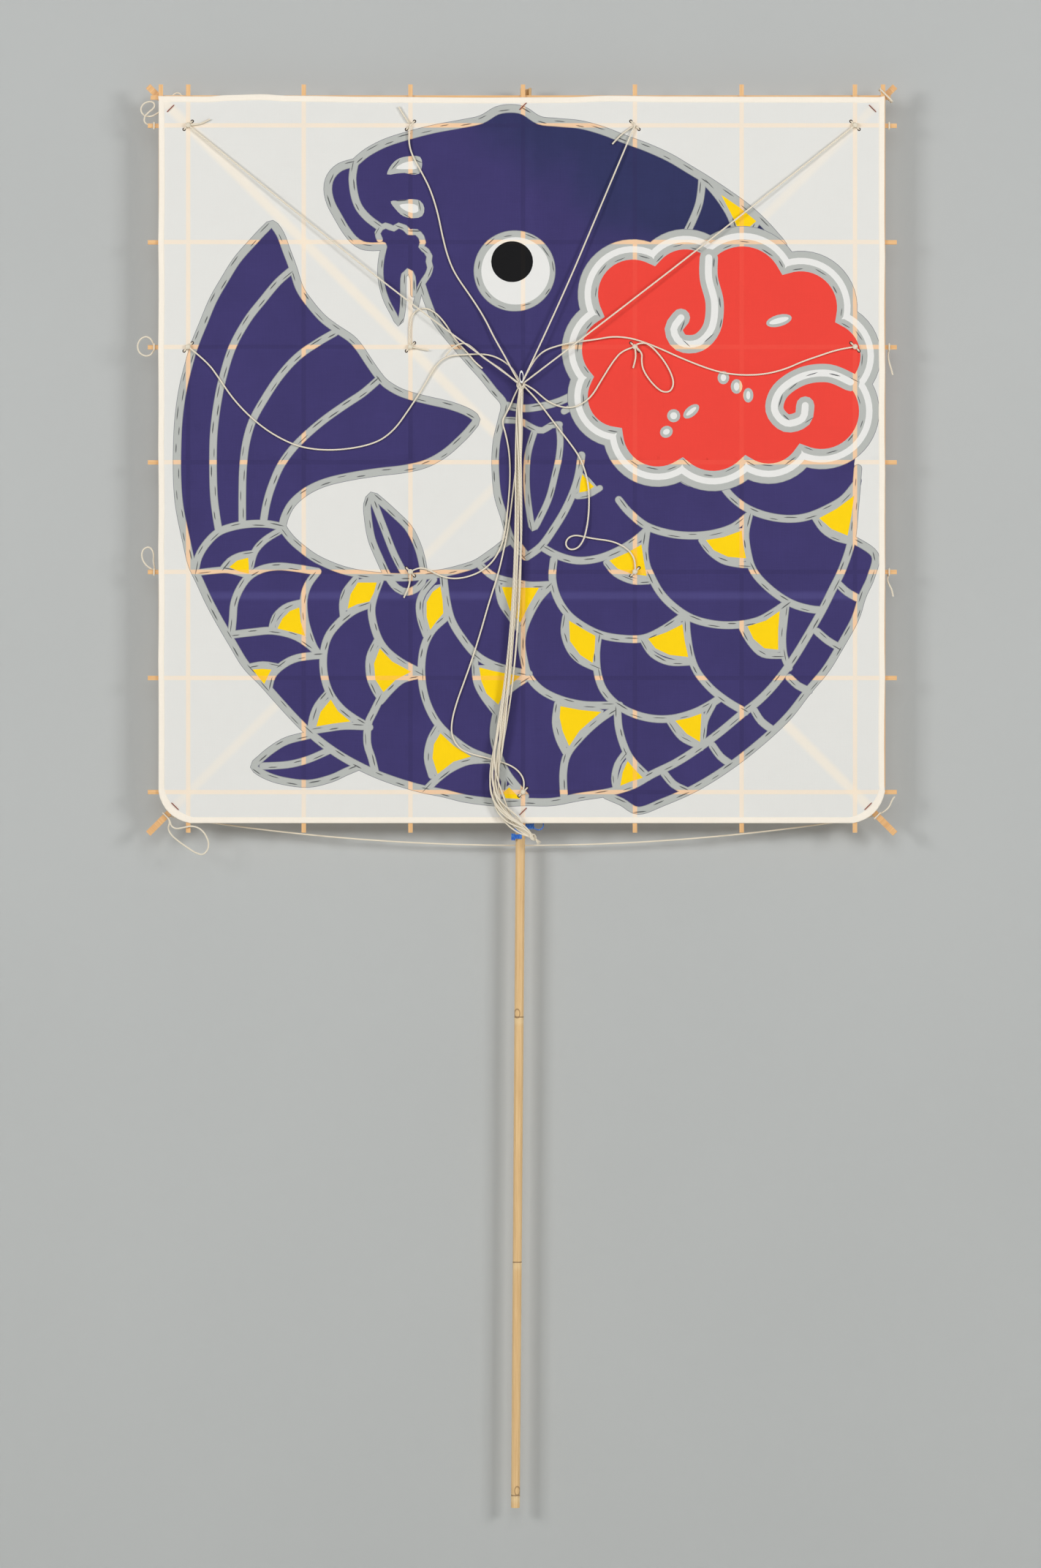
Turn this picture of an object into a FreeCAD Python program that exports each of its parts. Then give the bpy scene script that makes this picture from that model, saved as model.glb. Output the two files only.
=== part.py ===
import FreeCAD, Part
import math
import os

# Square fighting kite of cotton cloth on a split-bamboo grid, with a long bamboo tail
# bone, a bridle of cotton string and a gathered hank of flying line.
# Millimetres, +Z up, front faces -Y.  The origin is the crossing of the top-edge rib and
# the centre rib, at the plane where the back of the cloth meets the ribs.

# ---- driving dimensions -------------------------------------------------------------
SAIL_HALF = 497.0            # half width and half height of the cloth
SAIL_CENTRE_Z = -495.5       # height of the cloth's centre below the origin
CLOTH_T = 0.8                # cloth thickness
HEM_W = 8.0                  # width of the folded hem
HEM_T = 0.6                  # extra thickness of the hem
CORNER_CUT = 43.0            # run of the rounded bottom corners along each edge
CORNER_SAG = 14.5            # how far the bottom corner arc stays from the square corner

RIB_W = 6.0                  # grid rib width
RIB_T = 2.6                  # grid rib thickness
DIAGONAL_W = 8.5
DIAGONAL_T = 2.6
COLUMNS = [-493.5, -456.0, -298.0, -152.0, 2.0, 155.0, 301.0, 456.0, 494.5]
ROWS = [495.5, 457.0, 297.5, 154.0, -3.5, -153.5, -298.5, -454.5, -493.5]
TOP_STUB = 16.0              # how far a rib stands out past the cloth
BOTTOM_STUB = 13.0
LEFT_STUB = 14.5
RIGHT_STUB = 16.5
SHORT_COLUMN_END = -449.0    # the edge columns stop above the rounded corners
SHORT_ROW_END = 444.0        # the bottom-edge row stops inside the rounded corners
DIAGONAL_REACH = 511.5       # half diagonal along X and Z to the middle of its end

BONE_TOP = (5.9, 510.5)      # tail bone axis at its top: X, height over the cloth's centre
BONE_FOOT = (-8.5, -1435.5)  # and at its foot
BONE_FRONT_Y = 11.1          # the bone's front line, behind both diagonals
BONE_R_TOP = 7.8
BONE_R_WAIST = 6.5           # just below the cloth
BONE_R_FOOT = 6.0
BONE_WAIST_DOWN = 1010.0     # distance from the top down to the waist
BONE_WALL = 3.5
BONE_NODES = [243.5, -92.5, -428.5, -764.5, -1100.5, -1420.0]
NODE_RISE = 0.3
CHANNEL_LENGTH = 60.0        # the bone's top is opened into a U channel
TIE_GAP = 0.4                # running gap between the bone and its bindings

STRING_D = 2.2
THREAD_D = 1.2
HOLE_D = 3.5                 # punched hole for a bridle string
HOLE_OFFSET = 5.6            # hole centre from its crossing, along X and along Z
TIE_ROUND = 1.1              # corner radius of a tie, in its own diameters
HITCH_ROUND = 1.8            # corner radius of a hitch round a rib end
HITCH_GAP = 0.3
KNOT_R = (3.6, 2.6, 3.6)     # anchor knot half sizes
KNOT_Y = -4.0
LAY_Y = -2.5                 # axis height of a string that lies on the cloth

BRIDLE_KNOT = (-1.0, -9.0, 102.0)
BRIDLE_KNOT_R = (6.5, 5.5, 5.5)


def at(x, y, z):
    """Point whose height is given from the cloth's centre."""
    return FreeCAD.Vector(x, y, z + SAIL_CENTRE_Z)


def points(rows):
    return [at(*row) for row in rows]


def save(name, solids):
    """Write one node from one solid or a list of separate solids."""
    solids = solids if isinstance(solids, list) else [solids]
    shape = solids[0] if len(solids) == 1 else Part.makeCompound(solids)
    for solid in solids:
        if not solid.isValid() or solid.Volume <= 0:
            raise ValueError("bad solid in " + name)
    shape.exportStep("parts/" + name + ".step")
    print(name, "solids", len(solids), "volume", round(shape.Volume, 1))


# ---- cords ---------------------------------------------------------------------------
def rounded_wire(path, closed=False, fixed_radius=None):
    """Straight runs joined by tangent arcs.  Returns the wire and the smallest radius."""
    count = len(path)
    corners = range(count) if closed else range(1, count - 1)
    arcs = {}
    smallest = 1e9
    for i in corners:
        vertex = path[i]
        before = path[i - 1] - vertex
        after = path[(i + 1) % count] - vertex
        shorter = min(before.Length, after.Length)
        into = before.normalize() * -1.0
        out = after.normalize()
        half = into.getAngle(out) / 2.0
        radius = fixed_radius or 0.45 * shorter / math.tan(half)
        setback = radius * math.tan(half)
        inward = (out - into).normalize()
        arcs[i] = (
            vertex - into * setback,
            vertex + inward * (radius / math.cos(half) - radius),
            vertex + out * setback,
        )
        smallest = min(smallest, radius)
    edges = []
    pen = arcs[count - 1][2] if closed else path[0]
    for i in corners:
        start, middle, end = arcs[i]
        edges.append(Part.LineSegment(pen, start).toShape())
        edges.append(Part.Arc(start, middle, end).toShape())
        pen = end
    if not closed:
        edges.append(Part.LineSegment(pen, path[-1]).toShape())
    return Part.Wire(edges), smallest


def cord(name, path, diameter=STRING_D, closed=False, fixed_radius=None):
    """Tube of one diameter along a rounded path, with its size printed."""
    wire, smallest = rounded_wire(path, closed, fixed_radius)
    first = wire.Edges[0]
    start = first.valueAt(first.FirstParameter)
    along = first.tangentAt(first.FirstParameter)
    circle = Part.Wire(Part.makeCircle(diameter / 2.0, start, along))
    tube = wire.makePipeShell([circle], True, False)
    if tube.Volume < 0:
        tube.reverse()
    expected = math.pi * diameter ** 2 / 4.0 * wire.Length
    ratio = tube.Volume / expected
    if abs(ratio - 1.0) > 0.03:
        raise ValueError("cord volume is off in " + name)
    print(name, "length", round(wire.Length, 1), "radius", round(smallest, 1), "ratio", round(ratio, 3))
    return tube


def ellipsoid(centre, radii):
    """Ellipsoid at a point given from the cloth's centre."""
    ball = Part.makeSphere(1.0)
    matrix = FreeCAD.Matrix()
    matrix.scale(*radii)
    ball = ball.transformGeometry(matrix)
    ball.translate(at(*centre))
    return ball


# ---- cloth ---------------------------------------------------------------------------
def cloth_outline(inset, y):
    """Closed outline of the cloth, set in by some amount: rounded at the bottom corners."""
    half = SAIL_HALF - inset
    cut = CORNER_CUT - 0.41 * inset
    sag = CORNER_SAG - 0.09 * inset
    top_left = at(-half, y, half)
    top_right = at(half, y, half)
    right = at(half, y, -half + cut)
    right_mid = at(half - sag, y, -half + sag)
    bottom_right = at(half - cut, y, -half)
    bottom_left = at(-half + cut, y, -half)
    left_mid = at(-half + sag, y, -half + sag)
    left = at(-half, y, -half + cut)
    edges = [
        Part.LineSegment(top_left, top_right).toShape(),
        Part.LineSegment(top_right, right).toShape(),
        Part.Arc(right, right_mid, bottom_right).toShape(),
        Part.LineSegment(bottom_right, bottom_left).toShape(),
        Part.Arc(bottom_left, left_mid, left).toShape(),
        Part.LineSegment(left, top_left).toShape(),
    ]
    return Part.Wire(edges)


def plate(wire, thickness):
    """Plate that grows forward, toward -Y, from a flat outline."""
    return Part.Face(wire).extrude(FreeCAD.Vector(0, -thickness, 0))


# ---- ties round a crossing -----------------------------------------------------------
class Tie:
    """A closed loop that passes through two holes and round the ribs behind them."""

    def __init__(self, x, z, slope, back, diameter, offset, front):
        self.x = x
        self.z = z
        self.slope = slope
        self.back = back
        self.diameter = diameter
        self.offset = offset
        self.front = front

    def leg(self, side):
        return self.x + side * self.offset, self.z + side * self.slope * self.offset

    def holes(self, diameter):
        drills = []
        for side in (-1, 1):
            x, z = self.leg(side)
            start = at(x, 5.0, z)
            drills.append(Part.makeCylinder(diameter / 2.0, 12.0, start, FreeCAD.Vector(0, -1, 0)))
        return drills

    def loop(self, name):
        near = self.front - self.diameter / 2.0 - 0.1
        far = self.back + self.diameter / 2.0 + 0.1
        left_x, left_z = self.leg(-1)
        right_x, right_z = self.leg(1)
        corners = points([
            (left_x, near, left_z),
            (right_x, near, right_z),
            (right_x, far, right_z),
            (left_x, far, left_z),
        ])
        rounding = TIE_ROUND * self.diameter
        return cord(name, corners, self.diameter, closed=True, fixed_radius=rounding)


BACK_GRID = 2 * RIB_T
BACK_FALLING = BACK_GRID + DIAGONAL_T        # diagonal from top left to bottom right
BACK_RISING = BACK_FALLING + DIAGONAL_T      # diagonal from bottom left to top right

# Anchor name: crossing X, crossing Z, slope of the hole pair, what lies behind it.
ANCHORS = {
    "a1": (-456.0, 457.0, 1, BACK_FALLING),
    "a2": (-152.0, 457.0, 1, BACK_GRID),
    "a3": (155.0, 457.0, -1, BACK_GRID),
    "a4": (456.0, 457.0, -1, BACK_RISING),
    "b1": (-456.0, 154.0, 1, BACK_GRID),
    "b2": (-152.0, 154.0, 1, BACK_FALLING),
    "b3": (155.0, 154.0, -1, BACK_RISING),
    "b4": (456.0, 154.0, -1, BACK_GRID),
    "c2": (-152.0, -153.5, -1, BACK_RISING),
    "c3": (155.0, -153.5, 1, BACK_FALLING),
    "d": (2.0, -454.5, 1, BACK_GRID),
}

anchor_ties = {
    name: Tie(x, z, slope, back, STRING_D, HOLE_OFFSET, -CLOTH_T)
    for name, (x, z, slope, back) in ANCHORS.items()
}

# Thread lashings: top centre, bottom centre and the four corners.
HEM_FRONT = -CLOTH_T - HEM_T
lashing_ties = [
    Tie(2.0, 483.0, 1, BACK_GRID, THREAD_D, 4.6, -CLOTH_T),
    Tie(2.0, -481.0, 1, BACK_GRID, THREAD_D, 4.6, -CLOTH_T),
    Tie(-480.0, 480.0, 1, BACK_FALLING, THREAD_D, 4.6, -CLOTH_T),
    Tie(480.0, 480.0, -1, BACK_RISING, THREAD_D, 4.6, -CLOTH_T),
    Tie(-474.0, -474.0, -1, BACK_RISING, THREAD_D, 4.6, -CLOTH_T),
    Tie(474.0, -474.0, 1, BACK_FALLING, THREAD_D, 4.6, -CLOTH_T),
]


def make_cloth():
    sail = plate(cloth_outline(0.0, 0.0), CLOTH_T)
    drills = []
    for tie in anchor_ties.values():
        drills += tie.holes(HOLE_D)
    for tie in lashing_ties:
        drills += tie.holes(THREAD_D + 0.6)
    save("sail", sail.cut(Part.makeCompound(drills)).Solids)
    outer = plate(cloth_outline(0.0, -CLOTH_T), HEM_T)
    inner = plate(cloth_outline(HEM_W, -CLOTH_T), HEM_T)
    save("hem", outer.cut(inner).Solids)


# ---- bamboo grid ---------------------------------------------------------------------
def bar(centre, direction, length, width, y, thickness):
    """Flat bamboo strip with softened long edges, lying in the plane of the cloth."""
    strip = Part.makeBox(length, thickness, width)
    strip.translate(FreeCAD.Vector(-length / 2.0, 0, -width / 2.0))
    edges = [edge for edge in strip.Edges if abs(edge.tangentAt(0).x) > 0.9]
    strip = strip.makeFillet(0.5, [edge for edge in edges if edge.CenterOfMass.y > 0.1])
    turn = math.degrees(math.atan2(direction[1], direction[0]))
    strip.rotate(FreeCAD.Vector(0, 0, 0), FreeCAD.Vector(0, -1, 0), turn)
    strip.translate(at(centre[0], y, centre[1]))
    return strip


def make_grid():
    last = len(COLUMNS) - 1
    for i, x in enumerate(COLUMNS):
        top = SAIL_HALF + TOP_STUB
        bottom = SHORT_COLUMN_END if i in (0, last) else -SAIL_HALF - BOTTOM_STUB
        middle = (top + bottom) / 2.0
        rib = bar((x, middle), (0, 1), top - bottom, RIB_W, 0.0, RIB_T)
        save("column_rib_%d" % (i + 1), rib)
    for i, z in enumerate(ROWS):
        low = i == len(ROWS) - 1
        left = -SHORT_ROW_END if low else -SAIL_HALF - (10.7 if i == 0 else LEFT_STUB)
        right = SHORT_ROW_END if low else SAIL_HALF + (8.0 if i == 0 else RIGHT_STUB)
        middle = (left + right) / 2.0
        rib = bar((middle, z), (1, 0), right - left, RIB_W, RIB_T, RIB_T)
        save("row_rib_%d" % (i + 1), rib)
    reach = 2 * DIAGONAL_REACH * math.sqrt(2)
    falling = bar((0, 0), (1, -1), reach, DIAGONAL_W, BACK_GRID, DIAGONAL_T)
    rising = bar((0, 0), (1, 1), reach, DIAGONAL_W, BACK_FALLING, DIAGONAL_T)
    save("diagonal_falling", falling)
    save("diagonal_rising", rising)


# ---- tail bone -----------------------------------------------------------------------
BONE_LENGTH = math.hypot(BONE_TOP[0] - BONE_FOOT[0], BONE_TOP[1] - BONE_FOOT[1])
BONE_LEAN = math.degrees(math.atan2(BONE_TOP[0] - BONE_FOOT[0], BONE_TOP[1] - BONE_FOOT[1]))


def bone_radius(z):
    """Radius of the bone at a height given from the cloth's centre."""
    down = BONE_TOP[1] - z
    if down < BONE_WAIST_DOWN:
        return BONE_R_TOP + (BONE_R_WAIST - BONE_R_TOP) * down / BONE_WAIST_DOWN
    rest = BONE_LENGTH - BONE_WAIST_DOWN
    return BONE_R_WAIST + (BONE_R_FOOT - BONE_R_WAIST) * (down - BONE_WAIST_DOWN) / rest


def bone_axis_x(z):
    slope = (BONE_TOP[0] - BONE_FOOT[0]) / (BONE_TOP[1] - BONE_FOOT[1])
    return BONE_FOOT[0] + slope * (z - BONE_FOOT[1])


def bone_section(z, radius):
    """Circle that keeps the bone's front line straight while its radius changes."""
    centre = FreeCAD.Vector(0, BONE_FRONT_Y + bone_radius(z), z)
    return Part.Wire(Part.makeCircle(radius, centre, FreeCAD.Vector(0, 0, 1)))


def make_tail_bone():
    top = BONE_TOP[1]
    foot = top - BONE_LENGTH
    waist = top - BONE_WAIST_DOWN
    stations = [foot, waist, top]
    skin = [bone_section(z, bone_radius(z)) for z in stations]
    bone = Part.makeLoft(skin, True, True)
    for z in BONE_NODES:
        radius = bone_radius(z)
        ring = [
            bone_section(z - 2.5, bone_radius(z - 2.5) - 0.2),
            bone_section(z, radius + NODE_RISE),
            bone_section(z + 2.5, bone_radius(z + 2.5) - 0.2),
        ]
        bone = bone.fuse(Part.makeLoft(ring, True, True))
    hollow = [foot + 16.0, waist, top + 1.0]
    bore = [bone_section(z, bone_radius(z) - BONE_WALL) for z in hollow]
    bone = bone.cut(Part.makeLoft(bore, True, True))
    slot_half = BONE_R_TOP - BONE_WALL
    slot = Part.makeBox(2 * slot_half, BONE_R_TOP, CHANNEL_LENGTH + 1.0)
    slot.translate(FreeCAD.Vector(-slot_half, BONE_FRONT_Y - 0.5, top - CHANNEL_LENGTH))
    bone = bone.cut(slot)
    bone.translate(FreeCAD.Vector(0, 0, -top))
    bone.rotate(FreeCAD.Vector(0, 0, 0), FreeCAD.Vector(0, 1, 0), BONE_LEAN)
    bone.translate(at(BONE_TOP[0], 0, top))
    save("tail_bone", bone.Solids)


def bone_binding(z, height, thickness):
    """U-shaped thread binding round the bone, its ends stitched to the cloth's back."""
    inner = bone_radius(z) + TIE_GAP
    outer = inner + thickness
    x = bone_axis_x(z)
    y = BONE_FRONT_Y + bone_radius(z)
    low = z - height / 2.0
    up = FreeCAD.Vector(0, 0, 1)
    wrap = Part.makeCylinder(outer, height, at(x, y, low), up)
    legs = Part.makeBox(2 * outer, y, height, at(x - outer, 0, low))
    band = wrap.fuse(legs)
    band = band.cut(Part.makeCylinder(inner, height, at(x, y, low), up))
    return band.cut(Part.makeBox(2 * inner, y, height, at(x - inner, 0, low)))


def make_bindings():
    heights = [470.0, 166.0, -165.0, -470.0]
    save("bone_bindings", [bone_binding(z, 5.0, 1.2) for z in heights])


def make_blue_tie():
    """Plastic ribbon knotted round the bone under the hem: ring, side loop and tail."""
    z = -505.5
    inner = bone_radius(z) + TIE_GAP
    x = bone_axis_x(z)
    y = BONE_FRONT_Y + bone_radius(z)
    up = FreeCAD.Vector(0, 0, 1)
    back = FreeCAD.Vector(0, 1, 0)
    ring = Part.makeCylinder(inner + 1.3, 7.0, at(x, y, z - 3.5), up)
    ring = ring.cut(Part.makeCylinder(inner, 7.0, at(x, y, z - 3.5), up))
    band = Part.makeBox(12.5, 1.4, 7.0, at(x + 6.0, y - 6.0, z + 0.5))
    eye = Part.makeCylinder(7.6, 4.0, at(x + 24.6, y - 7.0, z + 6.0), back)
    eye = eye.cut(Part.makeCylinder(6.1, 4.0, at(x + 24.6, y - 7.0, z + 6.0), back))
    front = BONE_FRONT_Y - TIE_GAP - 1.3
    neck = Part.makeBox(4.0, 1.3, 8.0, at(x - 2.0, front, z - 10.0))
    sash = Part.makeBox(11.0, 1.3, 6.0, at(x - 9.0, front, z - 13.0))
    tail = Part.makeBox(5.5, 1.3, 9.0, at(x - 12.5, front, z - 15.0))
    tie = ring.fuse([band, eye, sash, tail, neck])
    save("blue_tie", tie.Solids)


# ---- bridle --------------------------------------------------------------------------
# Short string ends that stand out of the anchor knots, as X and height.
KNOT_TAILS = {
    "a1": [(-456, 457), (-440, 458), (-426, 465)],
    "a2": [(-152, 457), (-159, 467), (-168, 482)],
    "a3": [(155, 457), (138, 446), (124, 431)],
    "b2": [(-152, 154), (-140, 151.5), (-127, 149)],
    "b3": [(155, 154), (156.5, 140), (152.5, 125)],
    "c2": [(-152, -153.5), (-153, -172), (-161, -189)],
}


def make_anchor_ties():
    solids = []
    for name, tie in anchor_ties.items():
        knot = ellipsoid((tie.x, KNOT_Y, tie.z), KNOT_R)
        solid = tie.loop("anchor_" + name).fuse(knot)
        if name in KNOT_TAILS:
            tail = [(x, LAY_Y - 0.6, z) for x, z in KNOT_TAILS[name]]
            solid = solid.fuse(cord("tail_" + name, points(tail)))
        solids += solid.Solids
    save("bridle_anchor_ties", solids)


def make_lashings():
    save("corner_lashings", [tie.loop("lashing") for tie in lashing_ties])


def lying(rows):
    """Points on the cloth's front, given as X and height, at the lying height."""
    return [(x, LAY_Y, z) for x, z in rows]


BRIDLE_LINES = {
    "bridle_line_a1": [(-456, -4.0, 457), (-300, -6.6, 331), (-144, -9.2, 206), (-5, -11.5, 104.4)],
    "bridle_line_a2": [
        (-152, -4.2, 457), (-155, -3.4, 439), (-151, LAY_Y, 418), (-137.5, LAY_Y, 394),
        (-125, LAY_Y, 370), (-115, LAY_Y, 339), (-108, LAY_Y, 304), (-101, LAY_Y, 277),
        (-91, LAY_Y, 253), (-69, -3.0, 222), (-51, -4.2, 194), (-38, -5.8, 167),
        (-22, -8.0, 139), (-11.5, -8.5, 118.5), (-4, -8.6, 106),
    ],
    "bridle_line_a3": [(155, -4.0, 457), (104, -6.4, 336), (53, -8.7, 215), (1.6, -11.0, 106.2)],
    "bridle_line_a4": [(456, -4.0, 457), (305, -5.8, 337), (155, -7.6, 220), (3.6, -9.4, 104.6)],
    "bridle_line_b1": [
        (-456, -4.2, 154), (-430, -3.0, 134), (-413, LAY_Y, 110), (-394, LAY_Y, 82),
        (-368, LAY_Y, 55), (-337, LAY_Y, 32), (-299, LAY_Y, 15), (-251, LAY_Y, 12),
        (-201, LAY_Y, 21), (-175, LAY_Y, 39), (-155, LAY_Y, 67), (-134, LAY_Y, 99),
        (-117, -3.2, 130), (-101, -4.6, 141.5), (-80, -5.0, 143), (-60, -5.0, 144),
        (-42, -5.0, 142.5), (-26, -5.0, 135.5), (-11.5, -5.2, 124), (-2.2, -6.0, 105.8),
    ],
    "bridle_line_b2": lying([
        (-152, 154), (-153.5, 172), (-152, 188), (-148.5, 199), (-140, 206), (-128, 206.5),
        (-117, 200), (-108.5, 191), (-101.5, 181.5), (-95.5, 171), (-88, 161), (-80, 152),
        (-72, 143.5), (-63.5, 132.6), (-53.5, 124.5),
    ]),
    "bridle_line_b3": lying([
        (155, 154), (139, 150), (125.5, 135), (110, 110), (97, 88), (86.5, 78.5), (74, 72),
        (62, 70.5), (48, 73.5), (35, 80),
    ]) + [(25.5, -3.4, 88), (15, -5.6, 97), (4.2, -7.6, 102.4)],
    "bridle_line_b4": lying([
        (456, 154), (434, 151), (405, 141), (384, 134), (362, 124), (336, 117), (309, 115),
        (282, 117), (256, 123.5), (217, 139), (191, 151), (166, 161),
    ]) + [
        (146, -3.0, 166.5), (124, -4.0, 168), (102.5, -4.8, 164), (80, -5.4, 161),
        (53, -5.8, 156.5), (26, -6.0, 147), (10, -6.1, 124), (1.4, -6.2, 105.6),
    ],
    "bridle_line_c2": lying([
        (-152, -153.5), (-142, -147.5), (-129, -149.5), (-117, -156.5), (-103, -162),
        (-88, -163), (-72, -160), (-55, -153), (-38.5, -139), (-27.5, -119), (-22.4, -98.6),
        (-18.6, -64), (-16.2, -37), (-15.6, -12.5), (-17, 12), (-22, 36), (-27, 52),
        (-21, 63), (-15, 74.5),
    ]) + [(-10, -3.4, 87), (-3.6, -6.2, 99.0)],
    "bridle_line_c3": lying([
        (155, -153.5), (156, -140), (149, -126), (136, -116.5), (121, -111), (100, -108.5),
        (85, -105.5), (73, -103.2), (63, -107),
    ]) + [
        (59.5, -3.0, -116.5), (66, -3.8, -124), (77, -4.8, -121.5), (84.5, -5.4, -111),
        (88.5, -4.8, -97), (91.5, -3.4, -78), (92.5, LAY_Y, -54), (91, LAY_Y, -32),
        (85.5, LAY_Y, -11), (78, LAY_Y, 5.6), (68, LAY_Y, 20), (54, LAY_Y, 38),
        (41, LAY_Y, 55), (29, LAY_Y, 71), (18, LAY_Y, 85), (9.5, -4.6, 93.5), (3.6, -7.0, 99.4),
    ],
    "bridle_line_d": lying([
        (2, -454.5), (4.5, -442), (-1, -429), (-12, -419.5), (-27, -413.5), (-46, -408),
        (-68, -403), (-86, -395), (-96, -377), (-95.5, -357), (-89, -332.5), (-79, -305),
        (-69, -277), (-56, -236), (-44.5, -195), (-32, -157), (-24, -122.5), (-17, -88),
        (-12, -47), (-7, -5.5), (-4.5, 36), (-2.5, 66), (-2, 84),
    ]) + [(-1, -5.4, 99.0)],
}

SIDE_STRANDS = {
    "bridle_twist_strand": [
        (-104.5, -6.2, 141), (-98, -7.0, 149), (-89, -7.6, 156), (-78, -7.7, 159),
        (-69, -7.7, 154), (-60, -7.7, 145.5), (-50, -7.7, 137), (-38, -7.6, 129.5),
        (-26, -7.6, 121.5), (-5.2, -7.4, 103.6),
    ],
    "bridle_slack_loop": [
        (157, -4.8, 157), (167, -5.6, 160.5), (178, -4.4, 154), (188, LAY_Y, 143.5),
        (196, LAY_Y, 133), (204, LAY_Y, 119), (208.5, LAY_Y, 104), (203.5, LAY_Y, 92.5),
        (192.5, LAY_Y, 92), (182.5, LAY_Y, 100), (173, LAY_Y, 111), (165.5, LAY_Y, 124),
        (164, LAY_Y, 136), (165, -3.0, 146), (157.5, -4.4, 152.5),
    ],
}


def make_bridle():
    knot = ellipsoid(BRIDLE_KNOT, BRIDLE_KNOT_R)
    x, y, z = BRIDLE_KNOT
    bight = points([
        (x + 0.2, y - 3.4, z + 3.0), (x - 0.8, y - 3.6, z + 11.0), (x + 0.6, y - 3.6, z + 17.5),
        (x + 3.0, y - 3.6, z + 17.5), (x + 4.4, y - 3.6, z + 11.0), (x + 3.4, y - 3.4, z + 3.0),
    ])
    save("bridle_knot", knot.fuse(cord("bridle_bight", bight, 1.4)).Solids)
    for name, rows in BRIDLE_LINES.items():
        save(name, cord(name, points(rows)))
    for name, rows in SIDE_STRANDS.items():
        save(name, cord(name, points(rows)))


# Hank stations from the knot down: X, height, width, thickness.
HANK_STATIONS = [
    (-1.0, 93.5, 9.0, 6.0), (-2.2, 74.0, 12.5, 8.4), (-3.0, 40.0, 13.5, 9.0),
    (-4.6, 0.0, 13.6, 9.0), (-4.2, -100.0, 14.0, 9.0), (-7.0, -192.0, 15.0, 9.0),
    (-16.0, -298.0, 16.5, 9.0), (-26.0, -362.0, 18.0, 9.0), (-34.0, -405.0, 19.5, 9.0),
    (-38.0, -432.0, 20.0, 9.0), (-35.5, -458.0, 19.0, 9.0), (-25.0, -479.0, 17.0, 8.6),
    (-9.5, -496.0, 14.5, 8.0), (4.5, -508.0, 9.0, 6.4),
]
HANK_Y = -9.0


def hank_section(i):
    x, z, width, thickness = HANK_STATIONS[i]
    before = HANK_STATIONS[max(i - 1, 0)]
    after = HANK_STATIONS[min(i + 1, len(HANK_STATIONS) - 1)]
    along = FreeCAD.Vector(after[0] - before[0], 0, after[1] - before[1]).normalize()
    if i == 0:
        along = FreeCAD.Vector(0, 0, -1)
    across = along.cross(FreeCAD.Vector(0, 1, 0)).normalize()
    centre = at(x, HANK_Y, z)
    major = centre + across * (width / 2.0)
    minor = centre + FreeCAD.Vector(0, thickness / 2.0, 0)
    return Part.Wire(Part.Ellipse(major, minor, centre).toShape())


def make_hank():
    sections = [hank_section(i) for i in range(len(HANK_STATIONS))]
    save("hank", Part.makeLoft(sections, True, False))
    knot = ellipsoid((15.6, HANK_Y, -516.0), (6.8, 4.6, 5.2))
    tail = cord("hank_tail", points([(19, HANK_Y, -517), (23, HANK_Y, -521), (25.5, HANK_Y, -527)]))
    neck = cord("hank_neck", points([(2.0, HANK_Y, -506), (8, HANK_Y, -511), (13, HANK_Y, -514.5)]), 4.5)
    save("hank_end_knot", knot.fuse([tail, neck]).Solids)


# ---- bow strings ---------------------------------------------------------------------
def bow_points(left, right, sag, back_y, count):
    """Even points of a shallow curve that hangs between two rib ends behind the bone."""
    rows = []
    for i in range(count + 1):
        share = i / count
        dip = 4.0 * share * (1.0 - share)
        rows.append((
            left[0] + (right[0] - left[0]) * share,
            left[1] + (back_y - left[1]) * dip,
            left[2] + (right[2] - left[2]) * share - sag * dip,
        ))
    return rows


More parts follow.
